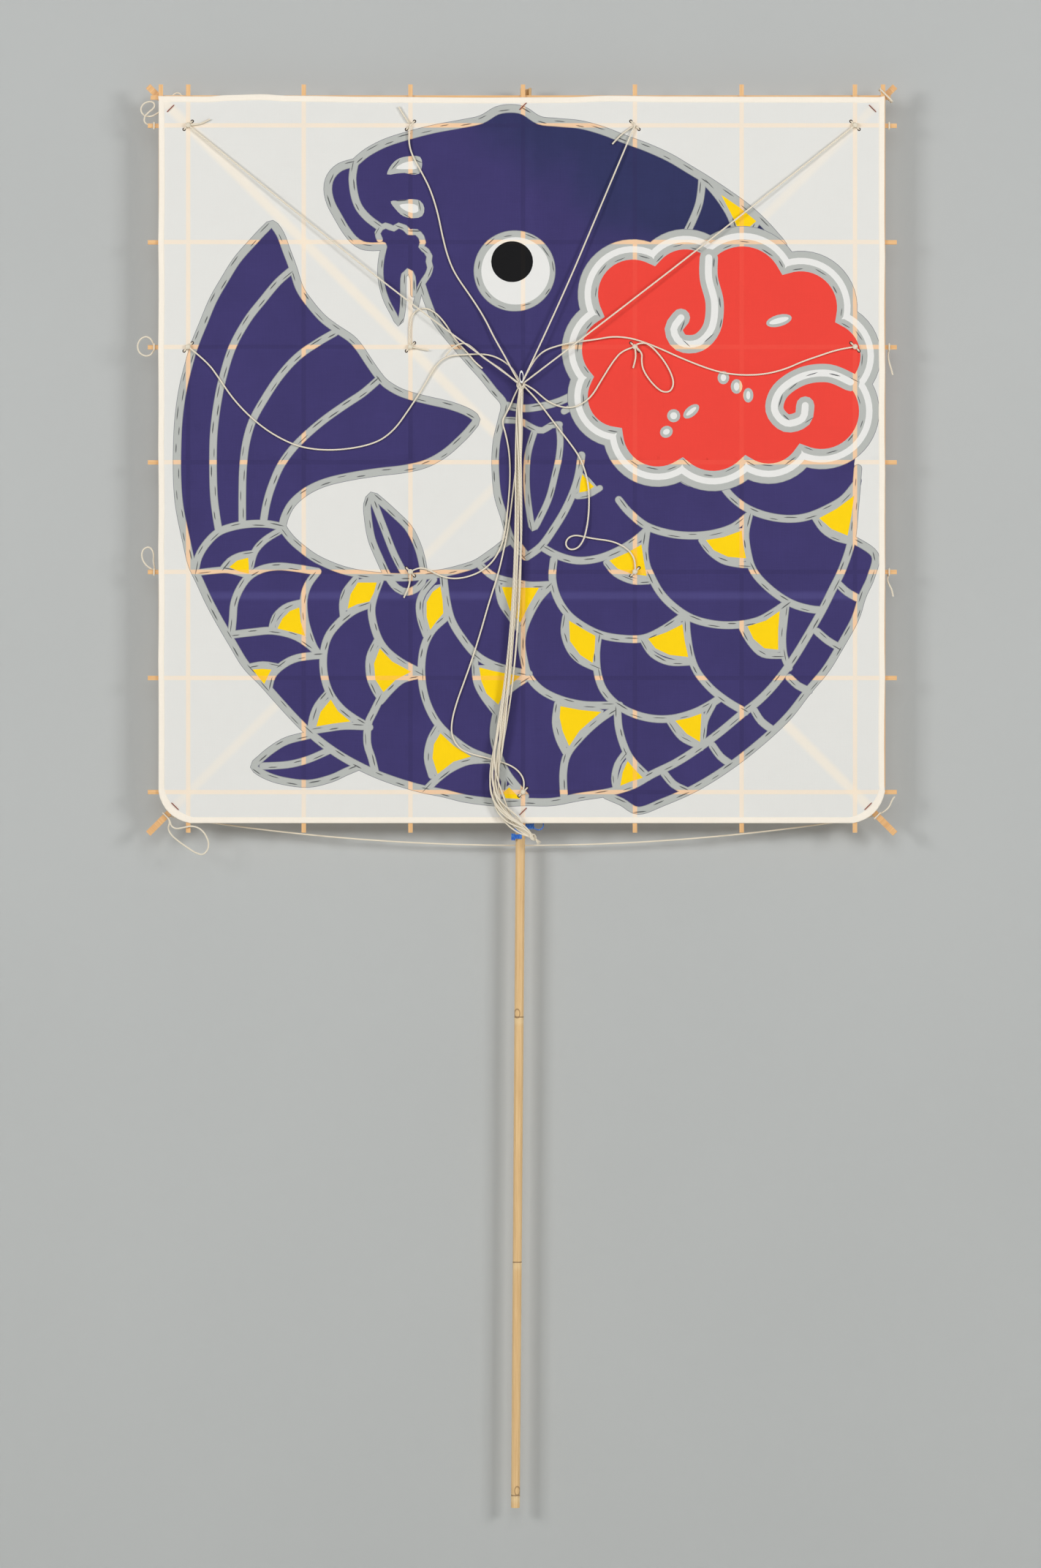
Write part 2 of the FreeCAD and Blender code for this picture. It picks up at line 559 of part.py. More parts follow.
HITCH_X = 503.0              # bow strings are hitched to the rib ends outside the cloth
HITCH_KNOT_Y = 9.2
BOW_START_Y = 10.8
CORNER_HITCH = 487.0         # the lowest bow string is hitched to the diagonals
CORNER_KNOT_Y = {-1: 13.2, 1: 10.6}
BOW_STRINGS = {
    "bow_string_top": ((-503.0, BOW_START_Y, 457.0), (503.0, BOW_START_Y, 457.0), 12.0, 29.6),
    "bow_string_upper": ((-503.0, BOW_START_Y, 154.0), (503.0, BOW_START_Y, 154.0), 12.0, 29.6),
    "bow_string_lower": ((-503.0, BOW_START_Y, -153.5), (503.0, BOW_START_Y, -153.5), 12.0, 29.6),
    "bow_string_foot": ((-487.0, 14.4, -487.0), (487.0, 11.8, -487.0), 41.0, 28.6),
}
BOW_ENDS = {
    "end_loop_top": [
        (-504.5, 8.8, 458.5), (-511, 6.9, 458), (-517, 4.6, 462.5), (-516, 2.6, 470),
        (-509.5, 1.8, 476), (-502.5, 2.0, 481.5), (-502.5, 3.6, 488.5), (-509.5, 5.0, 490.8),
        (-517.5, 5.8, 488), (-522, 6.0, 481), (-519.5, 6.0, 473), (-511.5, 6.0, 469.5),
        (-502, 6.0, 471.5), (-494, 6.2, 478),
    ],
    "end_arc_top": [
        (-480.5, 6.3, 490), (-479, 6.3, 498), (-472, 6.3, 503.5), (-464.5, 6.3, 499.5),
        (-462.5, 6.3, 491),
    ],
    "end_loop_upper": [
        (-503.5, 8.2, 156.5), (-506, 6.4, 164.5), (-513.5, 5.4, 169.5), (-522, 5.0, 166),
        (-526.5, 5.0, 156), (-523.5, 5.0, 146), (-514.5, 5.4, 141.5), (-506, 6.6, 144.5),
        (-503.5, 8.4, 151.5),
    ],
    "end_loop_lower": [
        (-503.5, 8.2, -151), (-511, 6.4, -147.5), (-517.5, 5.0, -140), (-520.5, 5.0, -131),
        (-518.5, 5.0, -122.5), (-511.5, 5.0, -118.5), (-505.5, 5.4, -122.5), (-503.5, 6.0, -130.5),
        (-504.5, 6.8, -139.5), (-502.5, 8.4, -149),
    ],
    "end_loop_foot": [
        (-485, 13.2, -488.5), (-481.5, 9.5, -495.5), (-484.5, 5.5, -504), (-479.5, 3.0, -513.5),
        (-470, 2.0, -521.5), (-458.5, 1.0, -529.5), (-447.5, 0.0, -537), (-436.5, -1.0, -541),
        (-429, -2.0, -534), (-427.5, -2.2, -524), (-431.5, -2.4, -513.5), (-439, -2.4, -504.5),
        (-450, -2.4, -500.6), (-462, -2.4, -503), (-472.5, -1.6, -505), (-479.5, 0.6, -501),
        (-481, 3.2, -494.5), (-484.6, 5.6, -489.4),
    ],
    "end_tail_upper": [
        (503.5, 8.6, 152), (501.5, 6.2, 144), (502.5, 3.8, 135), (505.5, 3.0, 126), (508, 3.0, 116),
    ],
    "end_tail_lower": [
        (503.0, 8.6, -155.5), (500.5, 6.6, -162.5), (502.5, 4.4, -170), (507, 3.2, -177.5),
        (508.5, 3.0, -187),
    ],
    "end_tail_foot": [
        (488.5, 10.4, -485.5), (496.5, 7.6, -481.5), (503.5, 5.0, -475), (507, 3.6, -465), (510.5, 2.0, -460.5),
    ],
}


def hitch(name, centre, across, half_width, front, back):
    """String wrapped once round a rib end, seen as a closed loop."""
    stand_off = STRING_D / 2.0 + HITCH_GAP
    near = front - stand_off
    far = back + stand_off
    reach = half_width + stand_off
    low = (centre[0] - across[0] * reach, centre[1] - across[1] * reach)
    high = (centre[0] + across[0] * reach, centre[1] + across[1] * reach)
    corners = points([
        (low[0], near, low[1]),
        (high[0], near, high[1]),
        (high[0], far, high[1]),
        (low[0], far, low[1]),
    ])
    return cord(name, corners, closed=True, fixed_radius=HITCH_ROUND)


def make_hitches():
    solids = []
    diagonal = math.sqrt(0.5)
    for side in (-1, 1):
        for row in (457.0, 154.0, -153.5):
            x = side * HITCH_X
            loop = hitch("hitch", (x, row), (0, 1), RIB_W / 2.0, RIB_T, BACK_GRID)
            knot = ellipsoid((x, HITCH_KNOT_Y, row), (3.0, 2.9, 3.4))
            solids.append(loop.fuse(knot).Solids[0])
        corner = (side * CORNER_HITCH, -CORNER_HITCH)
        back = BACK_RISING if side < 0 else BACK_FALLING
        across = (diagonal, side * diagonal)
        loop = hitch("hitch", corner, across, DIAGONAL_W / 2.0, back - DIAGONAL_T, back)
        knot = ellipsoid((corner[0], CORNER_KNOT_Y[side], corner[1]), (3.4, 2.6, 3.4))
        solids.append(loop.fuse(knot).Solids[0])
    wrap = Tie(498.5, 498.5, -1, BACK_RISING, STRING_D, 8.6, 0.0)
    solids.append(wrap.loop("corner_wrap"))
    save("bow_hitches", solids)


def make_bow_strings():
    for name, (left, right, sag, back_y) in BOW_STRINGS.items():
        save(name, cord(name, points(bow_points(left, right, sag, back_y, 18))))
    for name, rows in BOW_ENDS.items():
        save(name, cord(name, points(rows)))


def main():
    os.makedirs("parts", exist_ok=True)
    make_cloth()
    make_grid()
    make_tail_bone()
    make_bindings()
    make_blue_tie()
    make_anchor_ties()
    make_lashings()
    make_bridle()
    make_hank()
    make_hitches()
    make_bow_strings()


main()
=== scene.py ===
import logging
import math
import random
from dataclasses import dataclass, field
from enum import Enum

import bpy
import numpy as np
from mathutils import Matrix, Vector, noise
from mathutils.geometry import delaunay_2d_cdt


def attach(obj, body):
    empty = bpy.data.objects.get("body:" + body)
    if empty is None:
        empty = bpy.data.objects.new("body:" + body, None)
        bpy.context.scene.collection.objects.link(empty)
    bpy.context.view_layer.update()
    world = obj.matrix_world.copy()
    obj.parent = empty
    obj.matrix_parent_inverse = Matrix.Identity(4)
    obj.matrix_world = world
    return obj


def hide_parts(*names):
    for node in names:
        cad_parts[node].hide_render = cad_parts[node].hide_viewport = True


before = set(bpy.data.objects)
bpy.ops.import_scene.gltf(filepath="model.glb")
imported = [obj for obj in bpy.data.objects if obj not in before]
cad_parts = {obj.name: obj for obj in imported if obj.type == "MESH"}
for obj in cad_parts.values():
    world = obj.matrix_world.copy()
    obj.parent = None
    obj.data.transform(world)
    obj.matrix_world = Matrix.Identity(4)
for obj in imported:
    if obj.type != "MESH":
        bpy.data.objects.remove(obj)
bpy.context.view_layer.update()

# A square cotton kite painted with a carp: cloth, split-bamboo grid, bamboo tail bone,
# string bridle and a gathered hank of line.  Sizes are in millimetres from the cloth's
# centre, X to the right and Z up, and turned to metres in the shared frame by place().

LOG = logging.getLogger("kite")

MM = 0.001
CENTRE_Z = -495.5          # height of the cloth's centre in the shared frame
STRING_D = 2.2             # twisted cotton string
LAY_Y = -2.5               # axis height of a string that lies on the cloth
COLUMNS = (-493.5, -456.0, -298.0, -152.0, 2.0, 155.0, 301.0, 456.0, 494.5)
ROWS = (495.5, 457.0, 297.5, 154.0, -3.5, -153.5, -298.5, -454.5, -493.5)

Point2 = tuple[float, float]
Point3 = tuple[float, float, float]


def place(x: float, y: float, z: float) -> Vector:
    """Turn a point given from the cloth's centre into metres in the shared frame.

    Args:
        x: Millimetres to the right.
        y: Millimetres behind the cloth's back plane.
        z: Millimetres above the cloth's centre.

    Returns:
        The point in metres.
    """
    return Vector((x * MM, y * MM, (z + CENTRE_Z) * MM))


def linear(hex_colour: str) -> tuple[float, float, float, float]:
    """Turn an sRGB hex colour into the linear values that a shader needs.

    Args:
        hex_colour: Colour such as "#E2E1DC".

    Returns:
        Linear red, green, blue and alpha.
    """
    channels = []
    for start in (1, 3, 5):
        value = int(hex_colour[start:start + 2], 16) / 255.0
        channels.append(value / 12.92 if value <= 0.04045 else ((value + 0.055) / 1.055) ** 2.4)
    return channels[0], channels[1], channels[2], 1.0


def add_node(
    tree: bpy.types.NodeTree, kind: str, settings: dict[str, object], *inputs: object, **named: object
) -> bpy.types.Node:
    """Add one shader node with its settings, and fill or link its inputs.

    Args:
        tree: Node tree that gets the node.
        kind: Blender's name of the node type, without its prefix.
        settings: Properties of the node itself.
        inputs: Values, sockets or nodes for the sockets in use, in their order.
        named: The same for sockets by name, with underscores for spaces.

    Returns:
        The new node, which stands for its first output when it is given as an input.
    """
    node = tree.nodes.new("ShaderNode" + kind)
    for name, value in settings.items():
        setattr(node, name, value)
    in_use = [socket for socket in node.inputs if socket.enabled]
    targets = list(zip(in_use, inputs))
    targets += [(node.inputs[name.replace("_", " ")], value) for name, value in named.items()]
    for socket, value in targets:
        if isinstance(value, bpy.types.Node):
            value = next(output for output in value.outputs if output.enabled)
        if isinstance(value, bpy.types.NodeSocket):
            tree.links.new(value, socket)
        else:
            socket.default_value = value
    return node


# Settings that many nodes share: mixing two colours, then sums on plain values.
TINT = {"data_type": "RGBA"}
TINT_TIMES = {"data_type": "RGBA", "blend_type": "MULTIPLY"}
PLUS = {"operation": "ADD"}
MINUS = {"operation": "SUBTRACT"}
TIMES = {"operation": "MULTIPLY"}
TIMES_PLUS = {"operation": "MULTIPLY_ADD"}
LARGEST = {"operation": "MAXIMUM"}
POSITIVE = {"operation": "ABSOLUTE"}
WAVE = {"operation": "SINE"}
SOFT_STEP = {"interpolation_type": "SMOOTHSTEP"}


# ---- finishes ------------------------------------------------------------------------
class Surface:
    """A new Principled material, with its object-space position in millimetres."""

    def __init__(self, name: str, roughness: float, specular: float = 0.5) -> None:
        """Start the material with a plain shader that the finish then fills.

        Args:
            name: Name of the material.
            roughness: Typical roughness of the real surface.
            specular: Specular level of the real surface.
        """
        self.material = bpy.data.materials.new(name)
        self.material.use_nodes = True
        self.tree = self.material.node_tree
        self.shader = self.tree.nodes["Principled BSDF"]
        self.shader.inputs["Roughness"].default_value = roughness
        self.shader.inputs["Specular IOR Level"].default_value = specular
        coordinates = self.add("TexCoord", {})
        self.uv = coordinates.outputs["UV"]
        scaled = self.add(
            "VectorMath", {"operation": "SCALE"}, coordinates.outputs["Object"], Scale=1.0 / MM
        )
        self.position = self.add("VectorMath", PLUS, scaled, (0.0, 0.0, -CENTRE_Z))
        self.x, self.y, self.z = self.add("SeparateXYZ", {}, self.position).outputs

    def add(
        self, kind: str, settings: dict[str, object], *inputs: object, **named: object
    ) -> bpy.types.Node:
        """Add one node to this surface, as add_node does."""
        return add_node(self.tree, kind, settings, *inputs, **named)

    def band(self, value: object, target: object, half: float, soft: float) -> bpy.types.Node:
        """One within a band about a target, falling smoothly to zero outside it.

        Args:
            value: Node or socket that is tested.
            target: Middle of the band.
            half: Half of the band's width.
            soft: Width of the soft edge.

        Returns:
            The band's mask.
        """
        offset = self.add("Math", MINUS, value, target)
        off = self.add("Math", POSITIVE, offset)
        return self.add(
            "MapRange", SOFT_STEP, off, half, half + soft, 1.0, 0.0
        )

    def mottle(self, sizes: Point3, detail: float = 3.0, along: object = None) -> bpy.types.Node:
        """Blotches with a real size along each axis.

        Args:
            sizes: Blotch size in millimetres along X, Y and Z.
            detail: Number of finer layers.
            along: Turned position, where the blotches don't follow the axes.

        Returns:
            Noise from zero to one.
        """
        scale = tuple(1.0 / size for size in sizes)
        spread = self.add("VectorMath", TIMES, along or self.position, scale)
        return self.add("TexNoise", {}, spread, 1.0, detail, 0.6)

    def shade(
        self, colour: bpy.types.Node, relief: bpy.types.Node, depth_mm: float, strength: float
    ) -> None:
        """Give the shader its colour and a bump from a height pattern.

        Args:
            colour: Colour pattern.
            relief: Height pattern from zero to one.
            depth_mm: Height of the pattern.
            strength: Strength of the bump.
        """
        paint = next(output for output in colour.outputs if output.enabled)
        self.tree.links.new(paint, self.shader.inputs["Base Color"])
        bump = self.add("Bump", {}, Height=relief, Distance=depth_mm * MM, Strength=strength)
        self.tree.links.new(bump.outputs[0], self.shader.inputs["Normal"])


@dataclass(frozen=True)
class Dye:
    """One colour of the painted cotton, with how the bamboo behind shows through it."""

    name: str
    colour: str
    rib: str                  # colour over a rib that touches the back of the cloth
    rib_share: float
    crossing: float = 0.0     # share of the soft bands over the two diagonals
    fold: float = 0.0         # how much paler the fold and crease lines are
    streak: float = 0.05
    second: str = ""          # darker indigo towards the upper right
    hem: bool = False

    def material(self) -> bpy.types.Material:
        """Plain-weave cotton: matt, faintly streaked along its threads.

        Returns:
            The material.
        """
        cloth = Surface("cotton_" + self.name, 0.86, 0.25)
        base: object = linear(self.colour)
        if self.second:
            diagonal = cloth.add("Math", TIMES_PLUS, cloth.x, 0.8, cloth.z)
            wander = cloth.add("Math", TIMES_PLUS, cloth.mottle((90, 90, 90)), 160.0, diagonal)
            share = cloth.add("MapRange", SOFT_STEP, wander, 430.0, 560.0)
            base = cloth.add("Mix", TINT, share, base, linear(self.second))
        # Threads are 0.4 mm apart in fine cotton; slubs run 20 to 40 mm along them.
        along_x = cloth.mottle((34.0, 4.0, 1.1), 2.0)
        along_z = cloth.mottle((1.1, 4.0, 34.0), 2.0)
        slubs = cloth.add("Math", PLUS, along_x, along_z)
        blotch = cloth.mottle((70.0, 70.0, 70.0), 4.0)
        tone = cloth.add("Math", TIMES_PLUS, slubs, 0.5, blotch)
        value = cloth.add("MapRange", {}, tone, 0.6, 1.4, 1.0 - self.streak, 1.0 + self.streak)
        base = cloth.add("Mix", TINT_TIMES, 1.0, base, value)
        if self.crossing:
            falling = cloth.band(cloth.add("Math", PLUS, cloth.x, cloth.z), 0.0, 3.0, 12.0)
            rising = cloth.band(cloth.add("Math", MINUS, cloth.x, cloth.z), 0.0, 2.0, 12.0)
            weaker = cloth.add("Math", TIMES, rising, 0.6)
            either = cloth.add("Math", LARGEST, falling, weaker)
            share = cloth.add("Math", TIMES, either, self.crossing)
            base = cloth.add("Mix", TINT, share, base, linear("#EFE3D0"))
        ribs = cloth.add("Attribute", {"attribute_name": "rib"})
        fade = cloth.add("Math", TIMES_PLUS, cloth.mottle((26.0, 26.0, 26.0)), 0.6, 0.7)
        touching = cloth.add("Math", TIMES, ribs.outputs["Fac"], fade)
        share = cloth.add("Math", TIMES, touching, self.rib_share)
        base = cloth.add("Mix", TINT, share, base, linear(self.rib))
        if self.fold:
            # Paler lines along two folds and along a crease beside the spine.
            low = cloth.band(cloth.z, -186.0, 1.5, 7.0)
            high = cloth.band(cloth.z, 151.0, 0.3, 2.5)
            spine = cloth.band(cloth.x, 12.0, 1.0, 9.0)
            faint = cloth.add("Math", LARGEST, high, spine)
            fainter = cloth.add("Math", TIMES, faint, 0.12)
            fold_lines = cloth.add("Math", LARGEST, low, fainter)
            share = cloth.add("Math", TIMES, fold_lines, self.fold)
            base = cloth.add("Mix", TINT, share, base, linear("#6A66A6"))
        back = cloth.add("NewGeometry", {})
        soaked = 0.0 if self.hem else 0.22
        paler = cloth.add("Math", TIMES, back.outputs["Backfacing"], soaked)
        base = cloth.add("Mix", TINT, paler, base, linear("#DAD8D2"))
        turns_per_mm = math.tau / 0.8
        weft = cloth.add("Math", WAVE, cloth.add("Math", TIMES, cloth.x, turns_per_mm))
        warp = cloth.add("Math", WAVE, cloth.add("Math", TIMES, cloth.z, turns_per_mm))
        weave = cloth.add("Math", TIMES, weft, warp)
        relief = cloth.add("Math", TIMES_PLUS, weave, 0.25, slubs)
        cloth.shade(base, relief, 0.10, 0.55)
        return cloth.material


class Paint(Enum):
    """Colours of the painted cotton, in the order that they are laid down."""

    GROUND = Dye("undyed", "#DBDAD6", "#F2DDC2", 0.62, crossing=0.6, streak=0.012)
    INDIGO = Dye("indigo", "#3A3366", "#2C2650", 0.30, fold=0.18, streak=0.12, second="#2C2F58")
    EDGE = Dye("ink_edge", "#7E7F86", "#C79C73", 0.5)
    CONTOUR = Dye("grey_contour", "#B0B2AE", "#F0C59B", 0.85, streak=0.03)
    DASH = Dye("ink_dash", "#5C5D5E", "#A8805E", 0.5)
    YELLOW = Dye("yellow", "#F5CC00", "#F9B84A", 0.55, streak=0.02)
    WHITE = Dye("white_reserve", "#E0DFDC", "#F6E3CB", 0.62, streak=0.012)
    BLACK = Dye("black", "#0B0B0D", "#16120F", 0.5, streak=0.05)
    RED = Dye("red", "#E54136", "#EE6A55", 0.12, streak=0.03)
    # Painted shade: a dark ring round each punched hole, whose opening lies in shadow.
    EYELET = Dye("painted_hole_shade", "#3A2C28", "#3A2C28", 0.0)


@dataclass(frozen=True)
class Bamboo:
    """Bamboo, split into strips or whole, with its fibres along one direction."""

    name: str
    pale: str
    dark: str
    turn: float = 0.0         # fibre direction from upright, in degrees
    nodes: tuple[float, ...] = ()
    scars: tuple[float, ...] = ()
    gloss: float = 0.46

    def material(self) -> bpy.types.Material:
        """Split bamboo: satin skin, fine fibres 0.4 mm apart and a few darker ones.

        Returns:
            The material.
        """
        cane = Surface(self.name, self.gloss, 0.5)
        turned = cane.add(
            "VectorRotate", {"rotation_type": "AXIS_ANGLE"},
            Vector=cane.position, Axis=(0.0, 1.0, 0.0), Angle=math.radians(self.turn),
        )
        fine = cane.mottle((0.45, 0.45, 33.0), along=turned)
        broad = cane.mottle((2.0, 2.0, 83.0), along=turned)
        finer = cane.add("Math", TIMES, fine, 0.4)
        both = cane.add("Math", TIMES_PLUS, broad, 0.6, finer)
        share = cane.add("MapRange", {}, both, 0.32, 0.68)
        colour = cane.add("Mix", TINT, share, linear(self.pale), linear(self.dark))
        relief = fine
        for height in self.nodes:
            ring = cane.band(cane.z, height + 1.6, 0.5, 0.9)
            bloom = cane.band(cane.z, height - 3.0, 1.5, 7.0)
            for mask, strength, tint in ((bloom, 0.35, "#E9D3A6"), (ring, 0.75, "#7A5A38")):
                share = cane.add("Math", TIMES, mask, strength)
                colour = cane.add("Mix", TINT, share, colour, linear(tint))
            relief = cane.add("Math", TIMES_PLUS, ring, -1.5, relief)
        for height in self.scars:
            wide = cane.add("Math", TIMES_PLUS, cane.x, 1.0 / 4.0, 6.0 / 4.0)
            tall = cane.add("Math", TIMES_PLUS, cane.z, 1.0 / 6.5, -height / 6.5)
            squares = [cane.add("Math", TIMES, side, side) for side in (wide, tall)]
            reach = cane.add("Math", {"operation": "SQRT"}, cane.add("Math", PLUS, *squares))
            rim = cane.band(reach, 0.9, 0.05, 0.22)
            share = cane.add("Math", TIMES, rim, 0.7)
            colour = cane.add("Mix", TINT, share, colour, linear("#8A6740"))
            relief = cane.add("Math", TIMES_PLUS, rim, -1.2, relief)
        cane.shade(colour, relief, 0.16, 0.5)
        return cane.material


@dataclass(frozen=True)
class Twine:
    """Twisted cotton string or thread."""

    name: str
    # Colour on the ridges of the twist, and the painted shade in its grooves.
    pale: str
    dark: str
    plies: int = 3
    along_uv: bool = True

    def material(self) -> bpy.types.Material:
        """Cotton twisted from plies: matt, with slanting grooves 3 mm apart and painted shade in them.

        Returns:
            The material.
        """
        twine = Surface(self.name, 0.88, 0.2)
        fuzz = twine.mottle((0.7, 0.7, 0.7), 3.0)
        if self.along_uv:
            settings = {"attribute_name": "twist_turns", "attribute_type": "OBJECT"}
            turns = twine.add("Attribute", settings)
            axes = twine.add("SeparateXYZ", {}, twine.uv)
            phase = twine.add(
                "Math", TIMES_PLUS, axes.outputs[0], turns.outputs["Fac"], axes.outputs[1]
            )
            ridges = math.pi * self.plies
        else:
            level = twine.add("Math", PLUS, twine.x, twine.y)
            phase = twine.add("Math", PLUS, level, twine.z)
            ridges = math.pi / 1.2
        # Painted shade and light: the colour darkens into each groove and pales on the ridges, mixed with the
        # string's own fuzzy tone.
        swing = twine.add("Math", WAVE, twine.add("Math", TIMES, phase, ridges))
        groove = twine.add("Math", POSITIVE, swing)
        lit = twine.add("Math", TIMES, groove, 0.65)
        share = twine.add("Math", TIMES_PLUS, fuzz, 0.35, lit)
        colour = twine.add("Mix", TINT, share, linear(self.dark), linear(self.pale))
        relief = twine.add("Math", TIMES_PLUS, fuzz, 0.4, groove)
        twine.shade(colour, relief, 0.25, 0.7)
        return twine.material


@dataclass(frozen=True)
class Ribbon:
    """Thin polyethylene packing ribbon."""

    name: str = "polyethylene_ribbon"
    deep: str = "#1E5CC8"
    light: str = "#5AA0E8"

    def material(self) -> bpy.types.Material:
        """Drawn polyethylene film: glossy, finely creased along its length.

        Returns:
            The material.
        """
        film = Surface(self.name, 0.32, 0.5)
        crease = film.mottle((1.2, 6.0, 4.0), 3.0)
        share = film.add("MapRange", {}, crease, 0.42, 0.7)
        colour = film.add("Mix", TINT, share, linear(self.deep), linear(self.light))
        film.shade(colour, crease, 0.6, 0.8)
        return film.material


# The darker colour of each string is the painted shade in the grooves of its twist.
CREAM_STRING = Twine("twisted_cotton_string", "#F3EBDB", "#C9BBA0")
CREAM_KNOT = Twine("knotted_cotton_string", "#F1E8D7", "#CFC2A8", along_uv=False)
RED_THREAD = Twine("red_brown_thread", "#A5523F", "#6E2F24", plies=2, along_uv=False)
HEM_COTTON = Dye("folded_hem", "#EFE6D8", "#F6DFC2", 0.3, streak=0.03, hem=True)
UPRIGHT_STRIP = Bamboo("split_bamboo_upright", "#EBC08B", "#D49F63")
LEVEL_STRIP = Bamboo("split_bamboo_level", "#EBC08B", "#D49F63", turn=90.0)
FALLING_STRIP = Bamboo("split_bamboo_falling", "#E8BB85", "#CF985C", turn=-45.0)
RISING_STRIP = Bamboo("split_bamboo_rising", "#E8BB85", "#CF985C", turn=45.0)


# ---- shapes shared by the sub-assemblies -----------------------------------------------
def pick_nothing() -> None:
    """Leave edit mode and clear the selection, so that an operator acts on its own piece."""
    if bpy.context.object and bpy.context.object.mode != "OBJECT":
        bpy.ops.object.mode_set(mode="OBJECT")
    bpy.ops.object.select_all(action="DESELECT")


def settle(piece: bpy.types.Object, smooth_angle: float = 40.0) -> bpy.types.Object:
    """Put a modelled piece's place into its mesh and smooth its gentle edges.

    Args:
        piece: Mesh object.
        smooth_angle: Edges flatter than this many degrees are shaded smooth.

    Returns:
        The same piece.
    """
    pick_nothing()
    piece.select_set(True)
    bpy.context.view_layer.objects.active = piece
    bpy.ops.object.transform_apply(location=True, rotation=True, scale=True)
    bpy.ops.object.shade_smooth_by_angle(angle=math.radians(smooth_angle))
    return piece


def stretch(factors: Point3) -> bpy.types.Object:
    """Stretch the mesh of the piece that was just made, about its own middle.

    Args:
        factors: Stretch along X, Y and Z.

    Returns:
        The same piece.
    """
    piece = bpy.context.object
    bpy.ops.object.mode_set(mode="EDIT")
    bpy.ops.transform.resize(value=factors, orient_type="GLOBAL")
    bpy.ops.object.mode_set(mode="OBJECT")
    return piece


def join(pieces: list[bpy.types.Object], name: str) -> bpy.types.Object:
    """Join meshes into one piece.

    Args:
        pieces: Meshes to join.
        name: Name of the joined piece.

    Returns:
        The joined piece.
    """
    pick_nothing()
    for piece in pieces:
        piece.select_set(True)
    bpy.context.view_layer.objects.active = pieces[0]
    if len(pieces) > 1:
        bpy.ops.object.join()
    joined = bpy.context.view_layer.objects.active
    joined.name = joined.data.name = name
    return joined


def smooth_path(points: list[Point2], spacing: float, closed: bool) -> list[Vector]:
    """Follow a drawn line smoothly through its points.

    Args:
        points: Points of the line.
        spacing: Distance between the new points.
        closed: True where the line returns to its start.

    Returns:
        Points along the smooth line.
    """
    corners = [Vector(point) for point in points]
    count = len(corners)
    spans = count if closed else count - 1
    line = []
    for i in range(spans):
        if closed:
            p0, p1, p2, p3 = (corners[(i + k) % count] for k in (-1, 0, 1, 2))
        else:
            p0, p1, p2, p3 = (corners[min(max(i + k, 0), count - 1)] for k in (-1, 0, 1, 2))
        steps = max(1, round((p2 - p1).length / spacing))
        for step in range(steps):
            t = step / steps
            line.append(0.5 * (
                2.0 * p1 + (p2 - p0) * t + (2.0 * p0 - 5.0 * p1 + 4.0 * p2 - p3) * t * t
                + (3.0 * p1 - p0 - 3.0 * p2 + p3) * t * t * t
            ))
    if not closed:
        line.append(corners[-1])
    return line


def curve_piece(name: str, rows: list[Vector] | list[Point3], steps: int) -> bpy.types.Object:
    """Make one smooth curve that starts and ends at its outer control points.

    Args:
        name: Name of the curve.
        rows: Control points.
        steps: Points between two control points.

    Returns:
        The curve object, in the scene.
    """
    curve = bpy.data.curves.new(name, "CURVE")
    curve.dimensions = "3D"
    curve.resolution_u = steps
    spline = curve.splines.new("NURBS")
    spline.points.add(len(rows) - 1)
    for point, row in zip(spline.points, rows):
        point.co = (*row, 1.0)
    spline.order_u = 3
    spline.use_endpoint_u = True
    piece = bpy.data.objects.new(name, curve)
    bpy.context.scene.collection.objects.link(piece)
    return piece


@dataclass
class Cord:
    """One free string: its route, its real length and what its far end is."""

    name: str
    route: list[Point3]
    length_mm: float
    far_end: str = "knot"
    lay: str = "loose"
    diameter: float = STRING_D
    body: str = "kite"

    def build(self, material: bpy.types.Material, stands_for: tuple[str, ...]) -> bpy.types.Object:
        """Args:
            material: Twisted string material.
            stands_for: CAD nodes that it replaces.

        Returns:
            The curve object.
        """
        piece = curve_piece(self.name + "_string", [place(*row) for row in self.route], 8)
        piece.data.bevel_depth = self.diameter * MM / 2.0
        piece.data.bevel_resolution = 3
        piece.data.use_fill_caps = True
        piece.data.materials.append(material)
        piece["twist_turns"] = self.length_mm / 9.0
        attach(piece, self.body)
        if stands_for:
            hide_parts(*stands_for)
        LOG.info("string %s, %.0f mm", self.name, self.length_mm)
        return piece


def lying(rows: list[Point2]) -> list[Point3]:
    """Points on the cloth's front at the height of a string that lies on it."""
    return [(x, LAY_Y, z) for x, z in rows]


def route_line(route: list[Point3]) -> list[Vector]:
    """Read the points of a route's smooth curve.

    Args:
        route: Control points in millimetres from the cloth's centre.

    Returns:
        Points along the curve, in the same units.
    """
    guide = curve_piece("route", route, 10)
    curve = guide.data
    mesh = bpy.data.meshes.new_from_object(guide)
    line = [vertex.co.copy() for vertex in mesh.vertices]
    bpy.data.objects.remove(guide)
    bpy.data.curves.remove(curve)
    bpy.data.meshes.remove(mesh)
    return line


